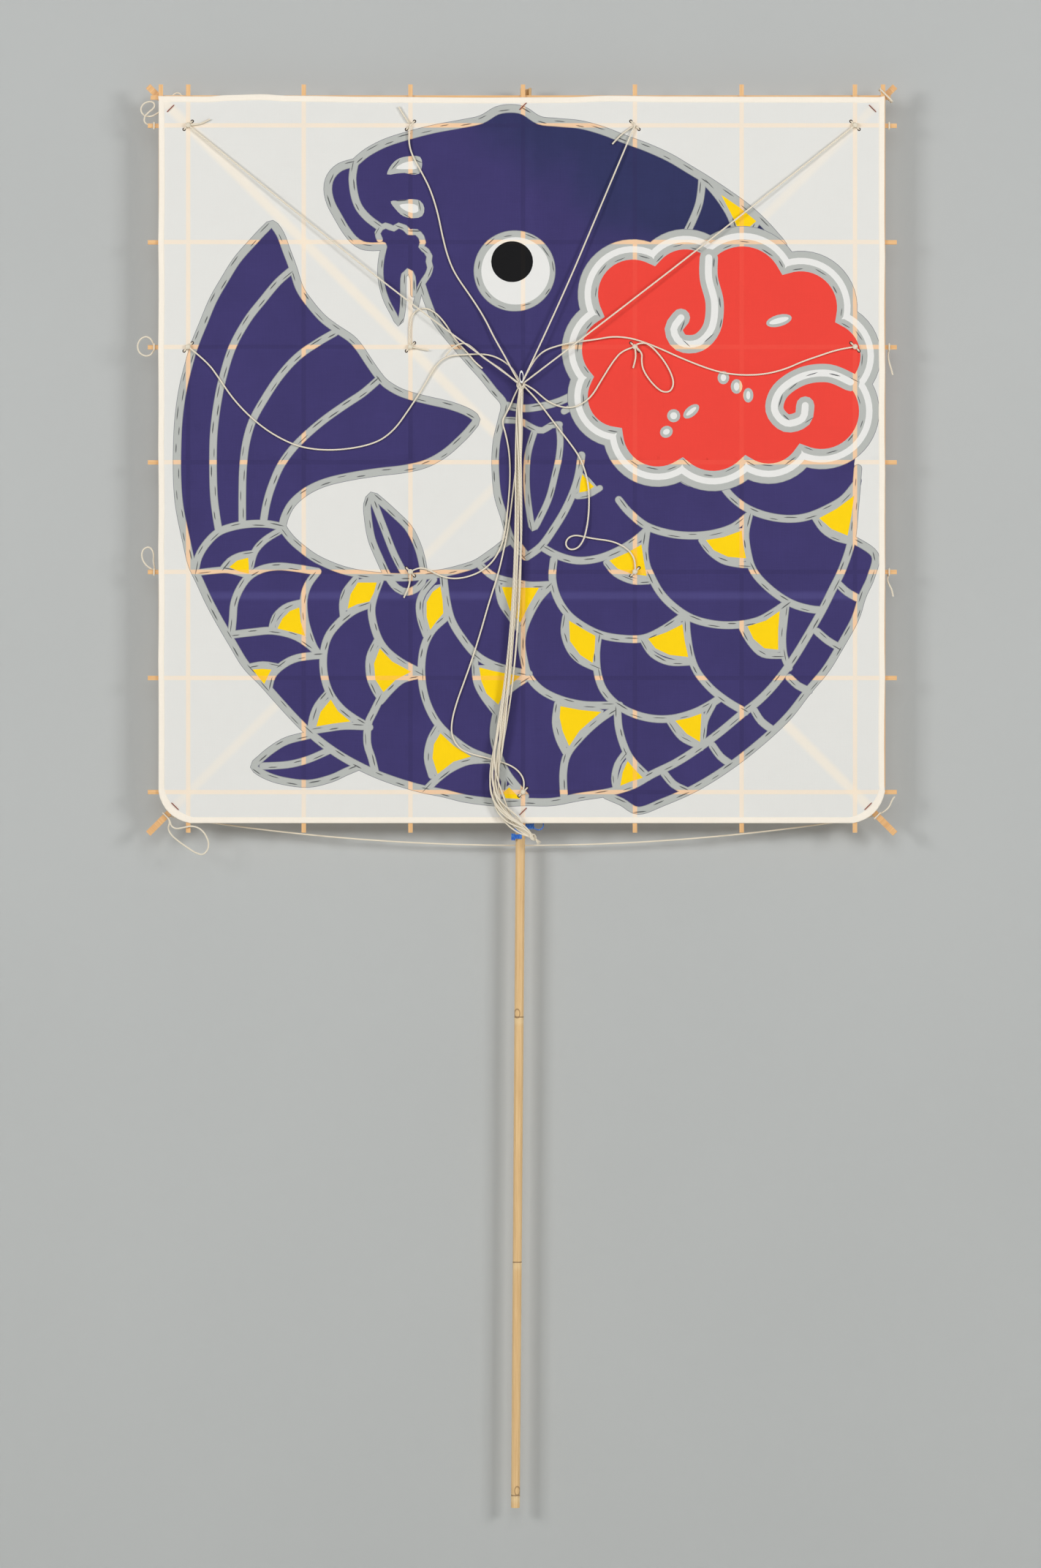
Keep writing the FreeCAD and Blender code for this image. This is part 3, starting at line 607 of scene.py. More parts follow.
@dataclass
class Knot:
    """A tight knot of wraps of string, one inside the other."""

    name: str
    centre: Point3
    wrap_radius: float
    string_d: float = STRING_D
    tilts: tuple[Point3, ...] = (
        (80.0, 10.0, 0.0), (15.0, 62.0, 0.0), (35.0, -50.0, 20.0), (95.0, -12.0, 40.0),
    )
    squash: Point3 = (1.0, 1.0, 1.0)

    def build(self, material: bpy.types.Material) -> bpy.types.Object:
        """Wind the wraps round each other.

        Args:
            material: Knotted string material.

        Returns:
            The knot.
        """
        wraps = []
        for i, tilt in enumerate(self.tilts):
            pick_nothing()
            bpy.ops.mesh.primitive_torus_add(
                major_segments=36, minor_segments=12,
                major_radius=self.wrap_radius * (1.0 - 0.07 * i) * MM,
                minor_radius=self.string_d / 2.0 * MM,
                location=place(*self.centre), rotation=tuple(math.radians(angle) for angle in tilt),
            )
            wraps.append(settle(stretch(self.squash), 60.0))
        knot = join(wraps, self.name)
        knot.data.materials.clear()
        knot.data.materials.append(material)
        LOG.info("knot %s", self.name)
        return knot


# ---- bridle ----------------------------------------------------------------------------
@dataclass
class Bridle:
    """Eleven lines from the anchors to one knot, a twisted strand and a slack loop."""

    lines: list[Cord] = field(default_factory=lambda: [
        Cord("bridle_line_a1", [
            (-456, -4.0, 457), (-300, -6.6, 331), (-144, -9.2, 206), (-5, -11.5, 104.4),
        ], 572.6, lay="taut"),
        Cord("bridle_line_a2", [
            (-152, -4.2, 457), (-155, -3.4, 439), (-151, LAY_Y, 418), (-137.5, LAY_Y, 394),
            (-125, LAY_Y, 370), (-115, LAY_Y, 339), (-108, LAY_Y, 304), (-101, LAY_Y, 277),
            (-91, LAY_Y, 253), (-69, -3.0, 222), (-51, -4.2, 194), (-38, -5.8, 167),
            (-22, -8.0, 139), (-11.5, -8.5, 118.5), (-4, -8.6, 106),
        ], 387.0),
        Cord("bridle_line_a3", [
            (155, -4.0, 457), (104, -6.4, 336), (53, -8.7, 215), (1.6, -11.0, 106.2),
        ], 383.0, lay="taut"),
        Cord("bridle_line_a4", [
            (456, -4.0, 457), (305, -5.8, 337), (155, -7.6, 220), (3.6, -9.4, 104.6),
        ], 573.5, lay="taut"),
        Cord("bridle_line_b1", [
            (-456, -4.2, 154), (-430, -3.0, 134), (-413, LAY_Y, 110), (-394, LAY_Y, 82),
            (-368, LAY_Y, 55), (-337, LAY_Y, 32), (-299, LAY_Y, 15), (-251, LAY_Y, 12),
            (-201, LAY_Y, 21), (-175, LAY_Y, 39), (-155, LAY_Y, 67), (-134, LAY_Y, 99),
            (-117, -3.2, 130), (-101, -4.6, 141.5), (-80, -5.0, 143), (-60, -5.0, 144),
            (-42, -5.0, 142.5), (-26, -5.0, 135.5), (-11.5, -5.2, 124), (-2.2, -6.0, 105.8),
        ], 584.6),
        Cord("bridle_line_b2", lying([
            (-152, 154), (-153.5, 172), (-152, 188), (-148.5, 199), (-140, 206), (-128, 206.5),
            (-117, 200), (-108.5, 191), (-101.5, 181.5), (-95.5, 171), (-88, 161), (-80, 152),
            (-72, 143.5), (-63.5, 132.6), (-53.5, 124.5),
        ]), 179.5),
        Cord("bridle_line_b3", lying([
            (155, 154), (139, 150), (125.5, 135), (110, 110), (97, 88), (86.5, 78.5), (74, 72),
            (62, 70.5), (48, 73.5), (35, 80),
        ]) + [(25.5, -3.4, 88), (15, -5.6, 97), (4.2, -7.6, 102.4)], 198.5),
        Cord("bridle_line_b4", lying([
            (456, 154), (434, 151), (405, 141), (384, 134), (362, 124), (336, 117), (309, 115),
            (282, 117), (256, 123.5), (217, 139), (191, 151), (166, 161),
        ]) + [
            (146, -3.0, 166.5), (124, -4.0, 168), (102.5, -4.8, 164), (80, -5.4, 161),
            (53, -5.8, 156.5), (26, -6.0, 147), (10, -6.1, 124), (1.4, -6.2, 105.6),
        ], 494.8),
        Cord("bridle_line_c2", lying([
            (-152, -153.5), (-142, -147.5), (-129, -149.5), (-117, -156.5), (-103, -162),
            (-88, -163), (-72, -160), (-55, -153), (-38.5, -139), (-27.5, -119), (-22.4, -98.6),
            (-18.6, -64), (-16.2, -37), (-15.6, -12.5), (-17, 12), (-22, 36), (-27, 52),
            (-21, 63), (-15, 74.5),
        ]) + [(-10, -3.4, 87), (-3.6, -6.2, 99.0)], 372.0),
        Cord("bridle_line_c3", lying([
            (155, -153.5), (156, -140), (149, -126), (136, -116.5), (121, -111), (100, -108.5),
            (85, -105.5), (73, -103.2), (63, -107),
        ]) + [
            (59.5, -3.0, -116.5), (66, -3.8, -124), (77, -4.8, -121.5), (84.5, -5.4, -111),
            (88.5, -4.8, -97), (91.5, -3.4, -78), (92.5, LAY_Y, -54), (91, LAY_Y, -32),
            (85.5, LAY_Y, -11), (78, LAY_Y, 5.6), (68, LAY_Y, 20), (54, LAY_Y, 38),
            (41, LAY_Y, 55), (29, LAY_Y, 71), (18, LAY_Y, 85), (9.5, -4.6, 93.5), (3.6, -7.0, 99.4),
        ], 401.2),
        Cord("bridle_line_d", lying([
            (2, -454.5), (4.5, -442), (-1, -429), (-12, -419.5), (-27, -413.5), (-46, -408),
            (-68, -403), (-86, -395), (-96, -377), (-95.5, -357), (-89, -332.5), (-79, -305),
            (-69, -277), (-56, -236), (-44.5, -195), (-32, -157), (-24, -122.5), (-17, -88),
            (-12, -47), (-7, -5.5), (-4.5, 36), (-2.5, 66), (-2, 84),
        ]) + [(-1, -5.4, 99.0)], 626.8),
        Cord("bridle_twist_strand", [
            (-104.5, -6.2, 141), (-98, -7.0, 149), (-89, -7.6, 156), (-78, -7.7, 159),
            (-69, -7.7, 154), (-60, -7.7, 145.5), (-50, -7.7, 137), (-38, -7.6, 129.5),
            (-26, -7.6, 121.5), (-5.2, -7.4, 103.6),
        ], 124.2),
        Cord("bridle_slack_loop", [
            (157, -4.8, 157), (167, -5.6, 160.5), (178, -4.4, 154), (188, LAY_Y, 143.5),
            (196, LAY_Y, 133), (204, LAY_Y, 119), (208.5, LAY_Y, 104), (203.5, LAY_Y, 92.5),
            (192.5, LAY_Y, 92), (182.5, LAY_Y, 100), (173, LAY_Y, 111), (165.5, LAY_Y, 124),
            (164, LAY_Y, 136), (165, -3.0, 146), (157.5, -4.4, 152.5),
        ], 177.4),
    ])
    knot: Knot = field(default_factory=lambda: Knot(
        "bridle_knot_wraps", (-1.0, -9.0, 101.0), 5.0, squash=(1.0, 0.85, 1.0)))

    def build(self) -> None:
        """Lay every line, then tie the knot and its small bight."""
        string = CREAM_STRING.material()
        for line in self.lines:
            line.build(string, (line.name,))
        knotted = CREAM_KNOT.material()
        wraps = self.knot.build(knotted)
        pick_nothing()
        x, y, z = self.knot.centre
        bpy.ops.mesh.primitive_torus_add(
            major_segments=32, minor_segments=10, major_radius=4.0 * MM, minor_radius=0.8 * MM,
            location=place(x + 0.9, y - 3.0, z + 11.0),
            rotation=(math.radians(80.0), 0.0, math.radians(15.0)),
        )
        bight = settle(stretch((0.62, 1.0, 1.9)), 60.0)
        knot = join([wraps, bight], "bridle_knot_wraps")
        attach(knot, "kite")
        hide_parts("bridle_knot")


# ---- hank ------------------------------------------------------------------------------
@dataclass
class Hank:
    """Gathered flying line: strands twisted loosely about one route, then knotted."""

    strands: int = 12
    twist_turns: float = 1.3
    route: list[Point3] = field(default_factory=lambda: [
        (-1.0, -9.0, 96), (-2.2, -9.0, 74), (-3.0, -9.0, 40), (-4.6, -9.0, 0),
        (-4.2, -9.0, -100), (-7.0, -9.0, -192), (-16.0, -9.0, -298), (-26.0, -9.0, -362),
        (-34.0, -9.0, -405), (-38.0, -9.0, -432), (-35.5, -9.0, -458), (-25.0, -9.0, -479),
        (-9.5, -9.0, -496), (4.5, -9.0, -508), (13.0, -9.0, -514.5),
    ])
    # Half width of the bundle at a share of its length: gathered, open, fanned, tied.
    spread: list[Point2] = field(default_factory=lambda: [
        (0.0, 2.4), (0.05, 4.6), (0.3, 5.4), (0.5, 6.2), (0.68, 7.2), (0.78, 9.5),
        (0.87, 10.5), (0.94, 8.0), (1.0, 2.2),
    ])
    half_depth: float = 3.3

    def width_at(self, share: float) -> float:
        """Half width of the bundle.

        Args:
            share: Share of the bundle's length, from its top.

        Returns:
            Millimetres.
        """
        for (low, first), (high, second) in zip(self.spread, self.spread[1:]):
            if share <= high:
                return first + (second - first) * (share - low) / (high - low)
        return self.spread[-1][1]

    def strand_route(self, number: int, line: list[Vector]) -> list[Point3]:
        """Points of one strand about the bundle's route.

        Args:
            number: The strand's number.
            line: Points along the bundle's route.

        Returns:
            The strand's control points.
        """
        chance = random.Random(40 + number)
        start = math.tau * number / (self.strands - 3) + chance.uniform(-0.3, 0.3)
        out = (0.18, 0.25, 0.3)[number % 3] if number >= self.strands - 3 else chance.uniform(0.75, 1.0)
        wander = chance.uniform(0.0, math.tau)
        rows = []
        count = 34
        for i in range(count + 1):
            share = i / count
            where = line[min(round(share * (len(line) - 1)), len(line) - 1)]
            ahead = line[min(round(share * (len(line) - 1)) + 2, len(line) - 1)]
            behind = line[max(round(share * (len(line) - 1)) - 2, 0)]
            along = (ahead - behind).normalized()
            across = Vector((-along.z, 0.0, along.x))
            angle = start + math.tau * self.twist_turns * share + 0.7 * math.sin(wander + 9.0 * share)
            side = out * math.cos(angle) * self.width_at(share)
            flattening = min(1.0, 0.45 + 6.0 * min(share, 1.0 - share))
            depth = out * math.sin(angle) * self.half_depth * flattening
            spot = where + across * side
            rows.append((spot.x, spot.y + depth, spot.z))
        return rows

    def build(self) -> None:
        """Lay the strands and tie the end knot with its frayed tip."""
        string = CREAM_STRING.material()
        line = route_line(self.route)
        for number in range(self.strands):
            rows = self.strand_route(number, line)
            length = sum(math.dist(a, b) for a, b in zip(rows, rows[1:]))
            strand = Cord(f"hank_strand_{number + 1}", rows, length, lay="hanging", body="hank")
            strand.build(string, ("hank",))
        knotted = CREAM_KNOT.material()
        wraps = Knot(
            "hank_end_wraps", (15.6, -9.0, -516.0), 4.6,
            tilts=((70.0, 30.0, 40.0), (20.0, 70.0, 10.0), (100.0, 20.0, 60.0)), squash=(1.15, 0.72, 0.9),
        ).build(knotted)
        fray = []
        for spread in (-14.0, -2.0, 10.0, 24.0):
            pick_nothing()
            lean = math.radians(32.0 + spread)
            bpy.ops.mesh.primitive_cone_add(
                vertices=8, radius1=0.95 * MM, radius2=0.35 * MM, depth=9.0 * MM,
                location=place(19.5 + 4.2 * math.sin(lean), -9.0 + spread / 20.0, -518.5 - 4.2 * math.cos(lean)),
                rotation=(math.pi, -lean, 0.0),
            )
            tuft = bpy.context.object
            bpy.ops.object.mode_set(mode="EDIT")
            bpy.ops.mesh.subdivide(number_cuts=2)
            bpy.ops.object.mode_set(mode="OBJECT")
            fray.append(settle(tuft, 60.0))
        knot = join([wraps, *fray], "hank_end_wraps")
        for slot in list(knot.data.materials)[1:]:
            knot.data.materials.pop()
        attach(knot, "hank")
        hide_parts("hank_end_knot")


# ---- bow strings -----------------------------------------------------------------------
@dataclass
class BowStrings:
    """Four strings behind the bone that keep the kite bowed, and their free ends."""

    ends: list[Cord] = field(default_factory=lambda: [
        Cord("end_loop_top", [
            (-504.5, 8.8, 458.5), (-511, 6.9, 458), (-517, 4.6, 462.5), (-516, 2.6, 470),
            (-509.5, 1.8, 476), (-502.5, 2.0, 481.5), (-502.5, 3.6, 488.5), (-509.5, 5.0, 490.8),
            (-517.5, 5.8, 488), (-522, 6.0, 481), (-519.5, 6.0, 473), (-511.5, 6.0, 469.5),
            (-502, 6.0, 471.5), (-494, 6.2, 478),
        ], 104.6, far_end="object"),
        Cord("end_arc_top", [
            (-480.5, 6.3, 490), (-479, 6.3, 498), (-472, 6.3, 503.5), (-464.5, 6.3, 499.5),
            (-462.5, 6.3, 491),
        ], 32.6, far_end="object"),
        Cord("end_loop_upper", [
            (-503.5, 8.2, 156.5), (-506, 6.4, 164.5), (-513.5, 5.4, 169.5), (-522, 5.0, 166),
            (-526.5, 5.0, 156), (-523.5, 5.0, 146), (-514.5, 5.4, 141.5), (-506, 6.6, 144.5),
            (-503.5, 8.4, 151.5),
        ], 71.9, far_end="object"),
        Cord("end_loop_lower", [
            (-503.5, 8.2, -151), (-511, 6.4, -147.5), (-517.5, 5.0, -140), (-520.5, 5.0, -131),
            (-518.5, 5.0, -122.5), (-511.5, 5.0, -118.5), (-505.5, 5.4, -122.5), (-503.5, 6.0, -130.5),
            (-504.5, 6.8, -139.5), (-502.5, 8.4, -149),
        ], 77.2, far_end="object"),
        Cord("end_loop_foot", [
            (-485, 13.2, -488.5), (-481.5, 9.5, -495.5), (-484.5, 5.5, -504), (-479.5, 3.0, -513.5),
            (-470, 2.0, -521.5), (-458.5, 1.0, -529.5), (-447.5, 0.0, -537), (-436.5, -1.0, -541),
            (-429, -2.0, -534), (-427.5, -2.2, -524), (-431.5, -2.4, -513.5), (-439, -2.4, -504.5),
            (-450, -2.4, -500.6), (-462, -2.4, -503), (-472.5, -1.6, -505), (-479.5, 0.6, -501),
            (-481, 3.2, -494.5), (-484.6, 5.6, -489.4),
        ], 177.5, far_end="object"),
        Cord("end_tail_upper", [
            (503.5, 8.6, 152), (501.5, 6.2, 144), (502.5, 3.8, 135), (505.5, 3.0, 126), (508, 3.0, 116),
        ], 37.6, far_end="bare"),
        Cord("end_tail_lower", [
            (503.0, 8.6, -155.5), (500.5, 6.6, -162.5), (502.5, 4.4, -170), (507, 3.2, -177.5),
            (508.5, 3.0, -187),
        ], 33.9, far_end="bare"),
        Cord("end_tail_foot", [
            (488.5, 10.4, -485.5), (496.5, 7.6, -481.5), (503.5, 5.0, -475), (507, 3.6, -465),
            (510.5, 2.0, -460.5),
        ], 34.5, far_end="bare"),
    ])
    # Name, left end, right end, sag, depth at the middle, real length.
    bows: list[tuple[str, Point3, Point3, float, float, float]] = field(default_factory=lambda: [
        ("bow_string_top", (-503.0, 10.8, 457.0), (503.0, 10.8, 457.0), 12.0, 29.6, 1007.3),
        ("bow_string_upper", (-503.0, 10.8, 154.0), (503.0, 10.8, 154.0), 12.0, 29.6, 1007.3),
        ("bow_string_lower", (-503.0, 10.8, -153.5), (503.0, 10.8, -153.5), 12.0, 29.6, 1007.3),
        ("bow_string_foot", (-487.0, 14.4, -487.0), (487.0, 11.8, -487.0), 41.0, 28.6, 979.1),
    ])

    def bow_route(self, left: Point3, right: Point3, sag: float, back: float) -> list[Point3]:
        """Even points of a shallow curve between two rib ends.

        Args:
            left: Left end.
            right: Right end.
            sag: How far its middle hangs.
            back: Depth of its middle, behind the bone.

        Returns:
            The control points.
        """
        rows = []
        for step in range(19):
            share = step / 18
            dip = 4.0 * share * (1.0 - share)
            rows.append((
                left[0] + (right[0] - left[0]) * share, left[1] + (back - left[1]) * dip,
                left[2] + (right[2] - left[2]) * share - sag * dip,
            ))
        return rows

    def build(self) -> None:
        """String the four bows and lay their free ends."""
        string = CREAM_STRING.material()
        for name, left, right, sag, back, length in self.bows:
            route = self.bow_route(left, right, sag, back)
            Cord(name, route, length, far_end="object", lay="taut").build(string, (name,))
        for end in self.ends:
            end.build(string, (end.name,))


# ---- bamboo and small ties -------------------------------------------------------------
class Frame:
    """The bamboo grid, the tail bone and the ties, which keep their CAD shapes."""

    BONE_NODES = (243.5, -92.5, -428.5, -764.5, -1100.5, -1420.0)
    BUD_SCARS = (-758.0, -1412.0)

    def dress(self) -> None:
        """Give each CAD node the finish of what it is made of."""
        upright = UPRIGHT_STRIP.material()
        level = LEVEL_STRIP.material()
        finishes = {f"column_rib_{i + 1}": upright for i in range(len(COLUMNS))}
        finishes |= {f"row_rib_{i + 1}": level for i in range(len(ROWS))}
        knotted = CREAM_KNOT.material()
        thread = RED_THREAD.material()
        finishes |= {
            "diagonal_falling": FALLING_STRIP.material(),
            "diagonal_rising": RISING_STRIP.material(),
            "tail_bone": Bamboo(
                "whole_bamboo_culm", "#E8C692", "#CFA772", nodes=self.BONE_NODES, scars=self.BUD_SCARS,
                gloss=0.36,
            ).material(),
            "bone_bindings": thread,
            "corner_lashings": thread,
            "bow_hitches": knotted,
            "bridle_anchor_ties": knotted,
            "blue_tie": Ribbon().material(),
        }
        for name, material in finishes.items():
            node = bpy.data.objects[name]
            for slot in node.material_slots:
                slot.material = material
            LOG.info("dressed %s", name)


# ---- cloth -----------------------------------------------------------------------------
SAIL_HALF = 497.0
CORNER_CUT = 43.0
CORNER_SAG = 14.5

# Edges of the cloth, drawn as small offsets from the straight edge.
TOP_EDGE: list[Point2] = [
    (-497, 0.0), (-430, -0.5), (-400, 1.5), (-355, 2.6), (-320, 0.6), (-200, -1.0), (-60, -2.0),
    (60, -1.5), (120, 0.6), (200, -0.4), (330, -0.8), (440, -1.0), (497, -1.5),
]
SIDE_EDGE: list[Point2] = [
    (-497, 0.6), (-380, 1.0), (-240, -0.6), (-80, 0.4), (60, -0.6), (200, 0.8), (340, -0.6), (497, -0.4),
]


def edge_offset(table: list[Point2], place_along: float) -> float:
    """Read how far an edge of the cloth wanders.

    Args:
        table: Drawn offsets along the edge.
        place_along: Place along the edge.

    Returns:
        The offset in millimetres.
    """
    for (low, first), (high, second) in zip(table, table[1:]):
        if place_along <= high:
            share = (place_along - low) / (high - low)
            share = share * share * (3.0 - 2.0 * share)
            return first + (second - first) * share
    return table[-1][1]


def cloth_edge(inset: float, spacing: float = 10.0) -> list[Point2]:
    """Outline of the cloth, clockwise from the top left corner.

    Args:
        inset: How far inside the real edge it runs.
        spacing: Distance between its points.

    Returns:
        Points of the outline.
    """
    half = SAIL_HALF - inset
    cut = CORNER_CUT - 0.41 * inset
    middle = half - CORNER_SAG + 0.09 * inset
    line: list[Point2] = []
    steps = int(2 * half / spacing)
    for i in range(steps):
        x = -half + 2 * half * i / steps
        line.append((x, half + edge_offset(TOP_EDGE, x)))
    for i in range(steps):
        z = half - (2 * half - cut) * i / steps
        line.append((half - abs(edge_offset(SIDE_EDGE, z)), z))
    corner = [(half, -half + cut), (middle, -middle), (half - cut, -half)]
    for i in range(8):
        t = i / 8
        line.append(tuple(
            (1 - t) ** 2 * a + 2 * t * (1 - t) * (2 * b - (a + c) / 2) + t * t * c
            for a, b, c in zip(*corner)
        ))
    for i in range(steps):
        line.append((half - cut - 2 * (half - cut) * i / steps, -half))
    for i in range(8):
        t = 1 - i / 8
        x, z = (
            (1 - t) ** 2 * a + 2 * t * (1 - t) * (2 * b - (a + c) / 2) + t * t * c
            for a, b, c in zip(*corner)
        )
        line.append((-x, z))
    for i in range(steps):
        z = -half + cut + (2 * half - cut) * i / steps
        line.append((-half + abs(edge_offset(SIDE_EDGE, -z)), z))
    return line


def billow(x: float, z: float) -> float:
    """Depth of the cloth's front where it lies slightly slack between the ribs.

    Args:
        x: Place to the right of the centre.
        z: Height over the centre.

    Returns:
        Millimetres in front of the rib plane, as a negative depth.
    """
    broad = noise.noise(Vector((x / 170.0, 3.1, z / 170.0)))
    fine = noise.noise(Vector((x / 55.0, 8.4, z / 55.0)))
    edge = max(abs(x), abs(z)) / SAIL_HALF
    return -0.62 + (0.34 * broad + 0.14 * fine) * (1.0 if edge < 0.96 else 0.4)


@dataclass(frozen=True)
class Patch:
    """A closed painted shape."""

    paint: Paint
    outline: tuple[Point2, ...]


@dataclass(frozen=True)
class Stroke:
    """A painted band of one width along a line."""

    line: tuple[Point2, ...]
    width: float = 9.6
    closed: bool = False


# The picture, drawn in millimetres from the cloth's centre.
BODY_PATCHES: tuple[Patch, ...] = (
    Patch(Paint.INDIGO, (
        (-228, 406), (-211, 420), (-186, 433), (-155, 443), (-120, 452), (-82, 459), (-55, 465),
        (-34, 477), (-15, 480), (3, 477), (24, 464), (49, 461), (80, 458), (110, 450), (141, 438),
        (171, 427), (202, 413), (229, 397), (252, 383), (279, 365), (303, 348), (324, 330),
        (344, 309), (359, 288), (345, 272), (250, 190), (150, 60), (90, 100), (53, 80), (28, 73),
        (3, 70), (-21, 73), (-38, 94), (-53, 113), (-70, 132), (-86, 149), (-103, 166), (-120, 193),
        (-130, 217), (-136, 240), (-150, 290), (-170, 310), (-194, 318), (-210, 330), (-222, 344),
        (-229, 360), (-231, 377), (-230, 392),
    )),
    Patch(Paint.INDIGO, (
        (-228, 406), (-248, 400), (-261, 387), (-265, 370), (-261, 351), (-251, 332), (-241, 315),
        (-230, 301), (-218, 293), (-203, 291), (-188, 292), (-190, 318), (-210, 330), (-222, 344),
        (-229, 360), (-231, 377), (-230, 392),
    )),
    Patch(Paint.INDIGO, (
        (-194, 301), (-197, 310), (-193, 317), (-186, 320), (-175, 316), (-168, 320), (-160, 317),
        (-154, 311), (-144, 311), (-137, 304), (-135, 297), (-137, 291), (-130, 285), (-126, 278),
        (-126, 271), (-125, 263), (-128, 253), (-134, 244), (-139, 234), (-142, 222), (-145, 210),
        (-147, 228), (-149, 249), (-155, 259), (-161, 253), (-162, 235), (-162, 215), (-164, 194),
        (-168, 184), (-175, 199), (-184, 216), (-190, 234), (-193, 253), (-192, 273), (-188, 291),
    )),
    Patch(Paint.INDIGO, (
        (-21, 73), (-28, 52), (-34, 26), (-36, -6), (-33, -47), (-24, -78), (-14, -109), (5, -133),
        (27, -118), (45, -93), (60, -68), (72, -41), (78, -20), (82, 3), (100, 50), (89, 103),
        (53, 80), (28, 73), (3, 70),
    )),
    Patch(Paint.INDIGO, (
        (5, -133), (-14, -111), (-38, -126), (-62, -142), (-86, -150), (-107, -155), (-134, -159),
        (-162, -161), (-189, -160), (-217, -157), (-241, -152), (-261, -145), (-282, -135),
        (-299, -123), (-313, -111), (-323, -99), (-327, -92), (-348, -88), (-372, -88),
        (-396, -92), (-416, -100), (-432, -116), (-442, -133), (-448, -143), (-440, -167),
        (-427, -195), (-413, -221), (-396, -250), (-377, -281), (-354, -305), (-330, -332),
        (-306, -358), (-289, -374), (-268, -391), (-244, -407), (-220, -420), (-196, -431),
        (-168, -441), (-137, -450), (-107, -456), (-79, -463), (-51, -467), (-24, -469), (4, -468),
        (41, -468), (80, -461), (118, -455), (152, -445), (179, -430), (210, -415), (240, -396),
        (271, -373), (301, -348), (325, -329), (347, -306), (370, -275), (391, -241), (411, -206),
        (424, -180), (439, -149), (453, -111), (457, -62), (460, -16), (380, 0), (260, 20),
        (130, -30), (80, 3), (72, -41), (60, -68), (45, -93), (27, -118),
    )),
    Patch(Paint.INDIGO, (
        (455, -111), (483, -130), (478, -160), (466, -187), (456, -218), (435, -256), (416, -287),
        (391, -317), (367, -348), (342, -373), (309, -401), (282, -421), (256, -438), (229, -453),
        (194, -468), (160, -480), (137, -468), (118, -461), (118, -455), (152, -445), (179, -430),
        (210, -415), (240, -396), (271, -373), (301, -348), (325, -329), (347, -306), (370, -275),
        (391, -241), (411, -206), (424, -180), (439, -149),
    )),
    Patch(Paint.INDIGO, (
        (-327, -92), (-323, -76), (-313, -59), (-294, -43), (-268, -31), (-234, -23), (-196, -17),
        (-162, -13), (-132, -6), (-106, 8), (-84, 27), (-69, 43), (-62, 55), (-74, 65), (-98, 74),
        (-124, 80), (-148, 86), (-168, 93), (-186, 104), (-196, 115), (-208, 132), (-222, 153),
        (-234, 166), (-255, 180), (-273, 194), (-291, 215), (-304, 235), (-313, 263), (-322, 287),
        (-330, 308), (-341, 322), (-351, 315), (-368, 297), (-389, 273), (-406, 246), (-422, 218),
        (-435, 187), (-446, 160), (-453, 138), (-463, 98), (-469, 56), (-471, 15), (-471, -26),
        (-468, -64), (-459, -109), (-453, -140), (-446, -149), (-442, -133), (-432, -116),
        (-416, -100), (-396, -92), (-372, -88), (-348, -88),
    )),
    Patch(Paint.INDIGO, (
        (-290, -376), (-320, -384), (-341, -396), (-358, -410), (-366, -420), (-351, -431),
        (-327, -439), (-292, -443), (-261, -436), (-241, -427), (-222, -419), (-260, -396),
    )),
    Patch(Paint.INDIGO, (
        (-205, -49), (-194, -56), (-175, -73), (-155, -93), (-143, -116), (-136, -140),
        (-134, -161), (-141, -174), (-156, -181), (-170, -176), (-182, -161), (-194, -136),
        (-205, -109), (-210, -81), (-211, -61),
    )),
    Patch(Paint.INDIGO, ((80, 60), (82, 10), (104, -30), (170, -44), (214, 0), (200, 60), (140, 90))),
    Patch(Paint.INDIGO, ((400, 24), (452, 16), (455, -6), (452, -30), (400, -40))),
)

